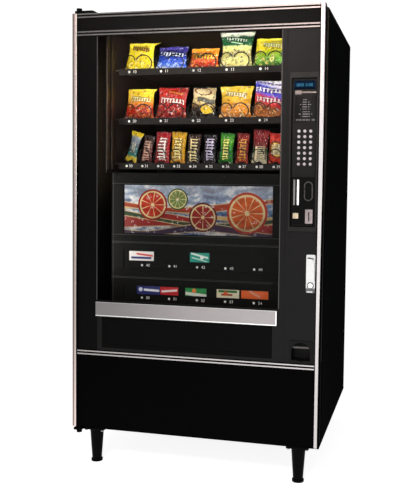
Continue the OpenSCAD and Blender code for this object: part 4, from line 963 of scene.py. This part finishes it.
# Stock. A pack has widths at its foot and top, a height, a lean in degrees, bands of colour from the foot
# up, marks (kind, colour, middle, half sizes), a heap of chips (height, two colours), the bands' slope, a
# flap at its top right, a depth, how far it crumples, leans stiffly, is pinched at its belly and is shaded,
# its shift from the lane's middle, and the places of the wires under it
Pack = namedtuple(
    "Pack", "foot top height lean bands marks heap slope flap depth crumple stiff pinch shade shift wires",
    defaults=(None, 0.0, 0.0, 0.029, 1.0, 0.0, 0.05, 0.0, 0.0, (-COIL_PAIR / 2, COIL_PAIR / 2)),
)
BAGS = (
    Pack(0.134, 0.112, 0.114, 6, [(0.0, "d9c000"), (0.5, "f6d800"), (1.0, "f9e23c")],
         [("signs", "9a4a1c", 0.50, 0.78, 0.34, 0.08)],
         (0.45, "fbf0a0", "e6bd1e"), flap=0.030, pinch=0.08),
    Pack(0.137, 0.126, 0.094, 8,
         [(0.0, "dfe6f8"), (0.16, "2f6cf0"), (0.50, "1a46c8"), (0.70, "12205e"), (0.92, "3c2c9a")],
         [("signs", "f2f5fd", 0.48, 0.66, 0.42, 0.10)],
         (0.30, "3f78f2", "e4ecfc"), 0.1, shade=0.12, pinch=0.08),
    Pack(0.136, 0.118, 0.084, 8, [(0.0, "b8200f"), (0.35, "e03c10"), (0.62, "f58012"), (1.0, "f7a01c")],
         [("signs", "fbd23a", 0.50, 0.60, 0.40, 0.14)],
         (0.36, "f6b83a", "d84c12"), 0.15, shade=0.15, pinch=0.08),
    Pack(0.138, 0.148, 0.146, 3,
         [(0.0, "d8cc80"), (0.50, "e6dc84"), (0.60, "dce498"), (0.63, "1d6a3a"), (0.86, "104c26"),
          (0.90, "f4f2e4")],
         [("signs", "f4faf0", 0.50, 0.79, 0.32, 0.045), ("wave", "cfe8c8", 0.50, 0.69, 0.20, 0.014)],
         (0.48, "f6ecb8", "b89c50"), shade=0.12, pinch=0.15),
    Pack(0.137, 0.126, 0.116, 5,
         [(0.0, "3c8a1c"), (0.30, "74b428"), (0.50, "b0cc24"), (0.62, "f2da10"), (1.0, "f8e236")],
         [("signs", "f8f4c4", 0.56, 0.76, 0.30, 0.08)],
         (0.44, "e8d478", "5c8c20"), -0.1, shade=0.08, pinch=0.06),
    Pack(0.134, 0.118, 0.126, 4,
         [(0.0, "a0160c"), (0.36, "cc2c10"), (0.54, "ec9014"), (0.72, "f9d222"), (1.0, "f9de3c")],
         [("signs", "f4ecc0", 0.55, 0.66, 0.34, 0.09)],
         (0.42, "ea8a40", "a83414"), flap=0.014, shade=0.08, pinch=0.08),
    Pack(0.136, 0.130, 0.130, 6, [(0.0, "8c0c06"), (0.40, "c4140a"), (0.75, "d81e0e"), (1.0, "a8120a")],
         [("signs", "fbf4ee", 0.52, 0.58, 0.42, 0.09), ("wave", "f0842c", 0.60, 0.84, 0.26, 0.03)],
         (0.36, "f0602c", "8a1008"), 0.1, shade=0.30, pinch=0.10),
    Pack(0.124, 0.098, 0.126, 4,
         [(0.0, "1c120b"), (0.26, "281810"), (0.40, "8a6428"), (0.52, "e0c888"), (0.78, "ead8a8"),
          (1.0, "b89c68")],
         [("ring", "7a4426", 0.45, 0.88, 0.40, 0.12), ("wave", "70706c", 0.60, 0.60, 0.36, 0.05),
          ("oval", "ecc41c", 0.66, 0.30, 0.24, 0.14)],
         slope=0.18, depth=0.026, crumple=2.2, shade=0.15, pinch=0.12),
    Pack(0.136, 0.142, 0.130, 3, [(0.0, "d87814"), (0.40, "ec9c26"), (0.66, "f4c428"), (1.0, "eccc3a")],
         [("signs", "fbf4d8", 0.50, 0.74, 0.32, 0.08)],
         (0.44, "f9d494", "d0781c"), shade=0.10, pinch=0.12),
    Pack(0.134, 0.126, 0.150, 3,
         [(0.0, "b86a22"), (0.28, "904812"), (0.36, "d42a34"), (0.52, "e23a46"), (0.62, "5650d8"),
          (0.80, "3a40cc"), (0.90, "efedfa")],
         [("signs", "f6f2fc", 0.50, 0.74, 0.48, 0.07), ("signs", "f4dede", 0.52, 0.48, 0.44, 0.07),
          ("signs", "5a50c0", 0.50, 0.92, 0.46, 0.03)],
         (0.32, "dc9c50", "4e2410"), 0.25, pinch=0.06),
)
for index, pack in enumerate(BAGS):
    tray, lane = divmod(index, LANES)
    place = f"{tray + 1}_{lane + 1}"
    printed = film_print("bag_film_" + place, pack, seed=0.37 + index)
    middle = lane_middle(lane, CHIP_LANE)
    seed = 0.61 * (index + 1)
    film_pack("snack_bag_" + place, middle, TRAY_FLOORS[tray], pack, printed, ("chip_bags",), seed)

CANDY_SHIFT = 0.0045
CANDY_GAP = 0.0012


def candy(width, height, lean, pinch, bands, *marks):
    """A stiff narrow pack with flared ends, a little left of the single coil's middle."""
    shift = -min(CANDY_SHIFT, CANDY_LANE / 2 - CANDY_GAP - width / 2)
    return Pack(
        width, width * 1.03, height, lean, bands, marks, depth=0.018, crumple=0.7, stiff=1.0, pinch=pinch,
        shift=shift, wires=(-shift,),
    )


BARS = (
    candy(0.052, 0.126, 15, 0.30,
          [(0.0, "c9b020"), (0.14, "ead030"), (0.22, "1f7a72"), (0.42, "3c7a80"), (0.56, "5a6678"),
           (0.82, "8c98a8"), (0.88, "eed018")],
          ("blocks", "d8dccc", 0.5, 0.48, 0.30, 0.16)),
    candy(0.047, 0.114, 9, 0.12, [(0.0, "3c0806"), (0.40, "78100e"), (0.75, "34100a"), (1.0, "200a06")],
          ("blocks", "d0a490", 0.42, 0.42, 0.46, 0.36)),
    candy(0.064, 0.130, 3, 0.08, [(0.0, "8c0410"), (0.50, "b8061a"), (1.0, "980616")],
          ("blocks", "fbeee8", 0.50, 0.44, 0.34, 0.36)),
    candy(0.064, 0.130, 3, 0.10, [(0.0, "c8880a"), (0.50, "d8a00c"), (0.80, "e0ac0c"), (1.0, "c8940a")],
          ("blocks", "fbe9a0", 0.46, 0.44, 0.36, 0.36)),
    candy(0.056, 0.120, 3, 0.10, [(0.0, "1c0e08"), (0.45, "2c160a"), (0.80, "3c1a0e"), (1.0, "240e08")],
          ("blocks", "f0dca0", 0.46, 0.44, 0.42, 0.40)),
    candy(0.053, 0.118, 3, 0.10, [(0.0, "140e18"), (0.40, "1e1424"), (0.80, "180e1c"), (1.0, "0e0810")],
          ("blocks", "d4ccec", 0.50, 0.48, 0.42, 0.38)),
    candy(0.060, 0.124, 4, 0.12, [(0.0, "1c7010"), (0.45, "148420"), (0.75, "58b020"), (1.0, "1c7020")],
          ("blocks", "f0ec7c", 0.44, 0.45, 0.30, 0.34)),
    candy(0.052, 0.124, 3, 0.12, [(0.0, "a82c0a"), (0.50, "a8100a"), (1.0, "7c080c")],
          ("blocks", "e09830", 0.55, 0.44, 0.40, 0.36)),
    candy(0.064, 0.138, 4, 0.08,
          [(0.0, "d8d0b0"), (0.24, "c0b890"), (0.38, "1a6228"), (0.52, "780c0e"), (1.0, "88081a")],
          ("blocks", "f0dcb4", 0.48, 0.30, 0.50, 0.20)),
    candy(0.062, 0.124, 3, 0.08, [(0.0, "c02408"), (0.50, "e0480c"), (0.85, "d0220c"), (1.0, "b0140a")],
          ("oval", "f9cc2c", 0.52, 0.46, 0.40, 0.22), ("blocks", "fbf0d0", 0.52, 0.46, 0.36, 0.18)),
)
for index, pack in enumerate(BARS):
    printed = film_print(f"bar_film_{index + 1}", pack, seed=3.1 + index)
    middle = lane_middle(index, CANDY_LANE)
    seed = 0.43 * (index + 1)
    film_pack(f"candy_bar_{index + 1}", middle, TRAY_FLOORS[2], pack, printed, ("candy_bars",), seed)

studs = stud_pattern()


def stud_group(name, points, finish, slot, **sizes):
    """Studs on the cabinet, as one piece."""
    settle(studs.run(name, points, finish, **sizes), "cabinet")


# Price rails and card rows: a marker dot and a plain number for each selection. A row has its lane
# width, its count, the dot's place from the lane's middle and the number's from the dot
CHIP_MARKS = (CHIP_LANE, LANES, -0.024, 0.024)
CANDY_MARKS = (CANDY_LANE, 2 * LANES, 0.001, 0.018)
RAIL_MIDDLE = 0.013
DOT_HEIGHT = 0.0012
NUMBER_SIZE = 0.0165
NUMBER_LIFT = 0.0002
CARD_PITCH = 0.1205
CARD_DOT_X = -0.266
CARD_NUMBER = 0.026
CARD_ROWS = (0.812, 0.675)
CARD_ROW_FACE = PANEL_FACE + 0.004
marker_points = []
marker_figures = []


def mark(number, x, gap, face, z):
    """Notes a marker dot and the number at its right."""
    marker_points.append((x, face - DOT_HEIGHT / 2, z))
    marker_figures.append((str(number), (x + gap, face - NUMBER_LIFT, z)))


for tray, (width, count, offset, gap) in enumerate((CHIP_MARKS, CHIP_MARKS, CANDY_MARKS)):
    for i in range(count):
        x = lane_middle(i, width) + offset
        mark(10 * (tray + 1) + i, x, gap, RAIL_FACE, TRAY_FLOORS[tray] - RAIL_MIDDLE)
for row, z in enumerate(CARD_ROWS):
    for i in range(LANES):
        mark(10 * (row + 4) + i, CARD_DOT_X + i * CARD_PITCH, CARD_NUMBER, CARD_ROW_FACE, z)
stud_group(
    "marker_dots", marker_points, moulded("dot_white", 0.80, 0.3), "key_white", radius=0.0050, taper=0.7,
    height=DOT_HEIGHT, sides=20, turn=FORWARD,
)
figure_white = moulded("figure_white", 0.85, 0.4)
numbers("marker_numbers", marker_figures, NUMBER_SIZE, figure_white, "cabinet")

# Picture sheet and drink cards on the can panel
PICTURE = (Vector((-0.346, PANEL_FACE + 0.0045, 0.945)), Vector((0.288, PANEL_FACE + 0.006, 1.147)))
plates("picture_sheet", [PICTURE], picture_print(*PICTURE), "cabinet", edge=0.0005)
CARD_FACE = PANEL_FACE + 0.0028
CARD_THICK = 0.0012
CARD_HEIGHT = 0.039
# Cards: left edge, width, foot, ground, bands (colour, heights, slope, ends), dot (colour, middle, radius)
CARDS = {
    "white": (-0.323, 0.109, 0.831, "f0ecee",
              [("e05a5a", 0.58, 0.78, 0.3, 0.3, 0.96), ("32377a", 0.20, 0.42, 0.0, 0.08, 0.9)], None),
    "teal": (-0.056, 0.083, 0.833, "1f9c8c",
             [("dff2ea", 0.60, 0.80, 0.5, 0.06, 0.94), ("c8ebe0", 0.22, 0.34, 0.5, 0.1, 0.9)],
             ("f4fbf6", 0.62, 0.5, 0.2)),
    "navy": (-0.288, 0.103, 0.690, "17206e", [("e6e9f6", 0.36, 0.60, 0.1, 0.30, 0.96)],
             ("d8dcf0", 0.16, 0.52, 0.22)),
    "red": (-0.184, 0.078, 0.691, "c81a24", [("f4e4e4", 0.34, 0.56, -0.2, 0.06, 0.94)], None),
    "green": (-0.075, 0.091, 0.692, "178a44", [("e6efe2", 0.0, 0.34, 0.2, 0.0, 1.0)],
              ("e08a4a", 0.42, 0.56, 0.24)),
    "cream": (0.060, 0.095, 0.691, "e9e2c4",
              [("2a6a34", 0.56, 0.80, 0.0, 0.08, 0.9), ("9a3a2a", 0.24, 0.44, 0.0, 0.2, 0.7)],
              ("d2603a", 0.40, 0.46, 0.24)),
    "orange": (0.163, 0.113, 0.692, "e8662a", [("d8a08a", 0.40, 0.62, 1.6, 0.30, 0.70)], None),
}
for label, (x, width, z, base, bands, dot) in CARDS.items():
    low = Vector((x, CARD_FACE, z))
    high = low + Vector((width, CARD_THICK, CARD_HEIGHT))
    print_face = card_print("card_print_" + label, low, high, base, bands, dot)
    plates("drink_card_" + label, [(low, high)], print_face, "cabinet", edge=0.0003)

# Lining strips on the wall of the snack bay, placed where lit bands show on it; their warm pale tint is
# partly painted light
WALL_FACE = WALLS_LOW.x + 0.003
STRIP_THICK = 0.0014
STRIP_END = 0.012
STRIPS = ((-0.364, -0.337), (-0.317, -0.281))
plates(
    "wall_strips",
    [((WALL_FACE, front, WALLS_LOW.z + STRIP_END),
      (WALL_FACE + STRIP_THICK, back, WALLS_HIGH.z - STRIP_END)) for front, back in STRIPS],
    brushed("lining_strip", 0.22, 0.4, (60, 60, 500), (1.0, 0.74, 0.64)), "cabinet",
    edge=0.0005,
)

# Door dressing
BEAD = 0.0035
BEAD_THICK = 0.0014
BEAD_END = 0.001
plates(
    "window_beads",
    [((x, DOOR_SKIN - BEAD_THICK, WINDOW_FOOT + BEAD_END), (x + BEAD, DOOR_SKIN, WINDOW_TOP - BEAD_END))
     for x in (WINDOW_LEFT - BEAD, WINDOW_RIGHT)],
    brushed("bead_metal", 0.07, 0.4, (50, 50, 700)), "door", edge=0.0005,
)

# Instruction plate, and above it a strip plate in two parts: edges, foot, top and how far each stands out
SIGN_LEFT, SIGN_RIGHT = 0.396, 0.476
SIGN_STRIP = ((SIGN_LEFT, 0.420, 1.494, 1.508, 0.0014), (0.421, SIGN_RIGHT, 1.4985, 1.5045, 0.0012))
LABEL = (Vector((SIGN_LEFT, WELL_FLOOR - 0.001, 1.389)), Vector((SIGN_RIGHT, WELL_FLOOR, 1.487)))
plates("instruction_plate", [LABEL], label_print(*LABEL), "door", edge=0.0003)
plates(
    "strip_plate",
    [((left, WELL_FLOOR - proud, foot), (right, WELL_FLOOR, top))
     for left, right, foot, top, proud in SIGN_STRIP],
    brushed("strip_metal", 0.20, 0.42, (60, 60, 800), (1.0, 0.86, 0.83)), "door",
    edge=0.0003,
)

# Small lit window under the note slot
PILOT_X, PILOT_Z, PILOT_HALF = 0.405, 1.0385, 0.0105
PILOT = (
    (PILOT_X - PILOT_HALF, MONEY_FACE + 0.0001, PILOT_Z - PILOT_HALF),
    (PILOT_X + PILOT_HALF, MONEY_FACE + 0.001, PILOT_Z + PILOT_HALF),
)
plates("pilot_window", [PILOT], lit_square(), "door", edge=0.0004)

# Seven-bar figures on the display: which bars of each figure are lit, and each bar's column, row and way
FIGURE_DEPTH = 0.0002
FIGURE_BARS = {"0": "abcdef", "1": "bc", "5": "acdfg", " ": ""}
BAR_PLACES = {
    "a": (0, 2, 1), "b": (1, 1, 0), "c": (1, 0, 0), "d": (0, 0, 1), "e": (0, 0, 0), "f": (0, 1, 0),
    "g": (0, 1, 1),
}


def display_figures(text, step, wide, tall, stroke):
    """Boxes for the lit bars of a row of figures on the display lens."""
    boxes = []
    middle = (LENS_LOW + LENS_HIGH) / 2
    back = LENS_LOW.y
    front = back - FIGURE_DEPTH
    for i, letter in enumerate(text):
        left = middle.x + (i + 0.5 - len(text) / 2) * step - wide / 2
        for bar in FIGURE_BARS[letter]:
            column, row, flat = BAR_PLACES[bar]
            x = left + column * (wide - stroke)
            z = middle.z - tall / 2 + row * (tall - stroke) / 2
            size = (wide, stroke) if flat else (stroke, (tall + stroke) / 2)
            boxes.append(((x, front, z), (x + size[0], back, z + size[1])))
    return boxes


FIGURES = display_figures("0050 0100", step=0.0068, wide=0.0048, tall=0.0095, stroke=0.0011)
plates("display_figures", FIGURES, figure_glass(), "door", edge=0.00005)

# Door seal: its section runs from the door's back to just short of the cabinet
SEAL_SIDE, SEAL_FOOT, SEAL_TOP = 0.0225, 0.012, 0.036
SEAL_WIDTH, SEAL_SLOPE = 0.012, 0.003
SEAL_LOW = (-HALF_WIDTH + SEAL_SIDE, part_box("kick_panel")[0].z + SEAL_FOOT)
SEAL_HIGH = (HALF_WIDTH - SEAL_SIDE, HEADER_HIGH.z - SEAL_TOP)
SEAL_TIP = CABINET_FRONT - 0.0006
SEAL_SHOULDER = DOOR_BACK + (SEAL_TIP - DOOR_BACK) * 0.7
SEAL_SECTION = [
    (0.0, DOOR_BACK), (0.0, SEAL_SHOULDER), (SEAL_SLOPE, SEAL_TIP), (SEAL_WIDTH - SEAL_SLOPE, SEAL_TIP),
    (SEAL_WIDTH, SEAL_SHOULDER), (SEAL_WIDTH, DOOR_BACK),
]
rubber = moulded("seal_rubber", 0.010, 0.7, 0.2)
frame_round("door_seal", SEAL_LOW, SEAL_HIGH, SEAL_SECTION, rubber, "door")

# Fixings: bolt heads under the legs' flanges, and screws round the back panel
bolt_steel = plated("bolt_steel", 0.276, 0.30, 0.35)
BOTH = (-1, 1)
LEG_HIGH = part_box("legs")[1]
FLANGE_WIDTH, FLANGE_DEPTH, FLANGE_THICK = 0.090, 0.074, 0.008
BOLT_IN = 0.009
LEG_MIDDLE = (LEG_HIGH.x - FLANGE_WIDTH / 2, LEG_HIGH.y - FLANGE_DEPTH / 2)
FLANGE_FOOT = LEG_HIGH.z - FLANGE_THICK
BOLT_STEP = (FLANGE_WIDTH / 2 - BOLT_IN, FLANGE_DEPTH / 2 - BOLT_IN)
leg_bolts = [
    (leg_x * LEG_MIDDLE[0] + x * BOLT_STEP[0], leg_y * LEG_MIDDLE[1] + y * BOLT_STEP[1], FLANGE_FOOT)
    for leg_x in BOTH for leg_y in BOTH for x in BOTH for y in BOTH
]
stud_group(
    "leg_bolts", leg_bolts, bolt_steel, "cabinet_paint", smooth=20, radius=0.0068, taper=0.9, height=0.005,
    sides=6, turn=DOWNWARD,
)
BACK_LOW, BACK_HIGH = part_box("back_panel")
SCREW_ROWS = 8
SCREW_COLUMNS = 5
SCREW_SIDE, SCREW_END = 0.018, 0.030
SCREWS_X = (BACK_LOW.x + SCREW_SIDE, BACK_HIGH.x - SCREW_SIDE)
SCREWS_Z = (BACK_LOW.z + SCREW_END, BACK_HIGH.z - SCREW_END)
back_screws = []
for i in range(SCREW_ROWS):
    z = SCREWS_Z[0] + i * (SCREWS_Z[1] - SCREWS_Z[0]) / (SCREW_ROWS - 1)
    back_screws += [(x, BACK_HIGH.y, z) for x in SCREWS_X]
for i in range(1, SCREW_COLUMNS):
    x = BACK_LOW.x + i * (BACK_HIGH.x - BACK_LOW.x) / SCREW_COLUMNS
    back_screws += [(x, BACK_HIGH.y, z) for z in SCREWS_Z]
stud_group(
    "back_screws", back_screws, bolt_steel, "back_sheet", radius=0.0055, taper=0.6, height=0.0028, sides=16,
    turn=BACKWARD,
)


def by_ray(graph, camera, glossy, other):
    """A strength that depends on what sees it: the camera, a reflection or the light's other paths."""
    path = graph.node("ShaderNodeLightPath").socket.node.outputs
    seen, through, mirrored = (
        Value(graph, path[f"Is {way} Ray"]) for way in ("Camera", "Transmission", "Glossy")
    )
    return other + (camera - other) * seen.either(through) + (glossy - other) * mirrored


# Floor, which is pale to the camera, and in reflections dimmer on the left and dark behind
floor_mesh = bmesh.new()
bmesh.ops.create_grid(floor_mesh, x_segments=1, y_segments=1, size=30.0)
floor_data = bpy.data.meshes.new("floor")
floor_mesh.to_mesh(floor_data)
floor_mesh.free()
floor = link("floor", floor_data)
pale = Finish("pale_floor", colour=0.80, roughness=0.9, specular=0.0)
floor_x, floor_y, _ = pale.spot()
mirrored_floor = (0.5 + 0.9 * floor_x.rise(-1.8, -0.4)) * floor_y.rise(0.2, -0.6)
glow = {"Color": 1.0, "Strength": by_ray(pale, 0.88, mirrored_floor, 0.0)}
pale.cover("ShaderNodeAddShader", {1: pale.node("ShaderNodeEmission", sockets=glow)}, 0)
floor_data.materials.append(pale.material)

# World: white to the camera, and in reflections bright ahead of the machine only
MIRRORED_AHEAD, MIRRORED_BEHIND = 0.70, 0.08
scene = bpy.context.scene
scene.view_settings.view_transform = "Standard"
world = bpy.data.worlds.new("studio")
scene.world = world
world.use_nodes = True
sky = Graph(world.node_tree)
backdrop = world.node_tree.nodes["Background"]
ahead = sky.axes(sky.node("ShaderNodeTexCoord"))[1].rise(0.1, -0.1)
mirrored_sky = MIRRORED_BEHIND + (MIRRORED_AHEAD - MIRRORED_BEHIND) * ahead
sky.feed(backdrop.inputs["Color"], 1.0)
sky.feed(backdrop.inputs["Strength"], by_ray(sky, 1.05, mirrored_sky, 0.2))


def soft_light(name, place, aim, size, power, spread=180, colour=(1.0, 1.0, 1.0)):
    data = bpy.data.lights.new(name, "AREA")
    data.shape = "RECTANGLE"
    data.size, data.size_y = size
    data.energy = power
    data.spread = math.radians(spread)
    data.color = colour
    lamp = link(name, data)
    lamp.location = place
    lamp.rotation_euler = (Vector(aim) - Vector(place)).to_track_quat("-Z", "Y").to_euler()


soft_light("key_light", (-0.1, -3.9, 3.2), (0.1, -0.4, 1.4), (1.1, 0.8), 29.0, 120, (1.0, 0.78, 0.70))
soft_light("fill_light", (2.2, -4.6, 1.2), (0.0, -0.4, 1.1), (2.2, 1.8), 30.0)
soft_light("stock_light", (0.7, -4.4, 1.0), (-0.05, -0.3, 1.95), (0.6, 0.6), 4.4, 16, (1.0, 0.92, 0.84))
soft_light("edge_light", (0.12, -3.6, 1.2), (0.45, -0.46, 1.2), (0.45, 2.2), 8.0)

# Camera, fitted to the photograph's frame
IMAGE = (418, 483)
FOCAL_PIXELS = 747.9
PRINCIPAL = (244.8, 227.7)
SENSOR = 36.0
CAMERA_PLACE = (0.880, -3.242, 1.150)
YAW, PITCH, ROLL = (math.radians(a) for a in (13.52, -3.22, 0.72))
camera_data = bpy.data.cameras.new("camera")
camera_data.sensor_width = SENSOR
camera_data.lens = FOCAL_PIXELS * SENSOR / max(IMAGE)
camera_data.shift_x = (IMAGE[0] / 2 - PRINCIPAL[0]) / max(IMAGE)
camera_data.shift_y = (PRINCIPAL[1] - IMAGE[1] / 2) / max(IMAGE)
camera = link("camera", camera_data)
camera.matrix_world = (
    Matrix.Translation(CAMERA_PLACE) @ Matrix.Rotation(YAW, 4, "Z")
    @ Matrix.Rotation(math.pi / 2 + PITCH, 4, "X") @ Matrix.Rotation(ROLL, 4, "Z")
)
scene.camera = camera

bpy.context.view_layer.update()
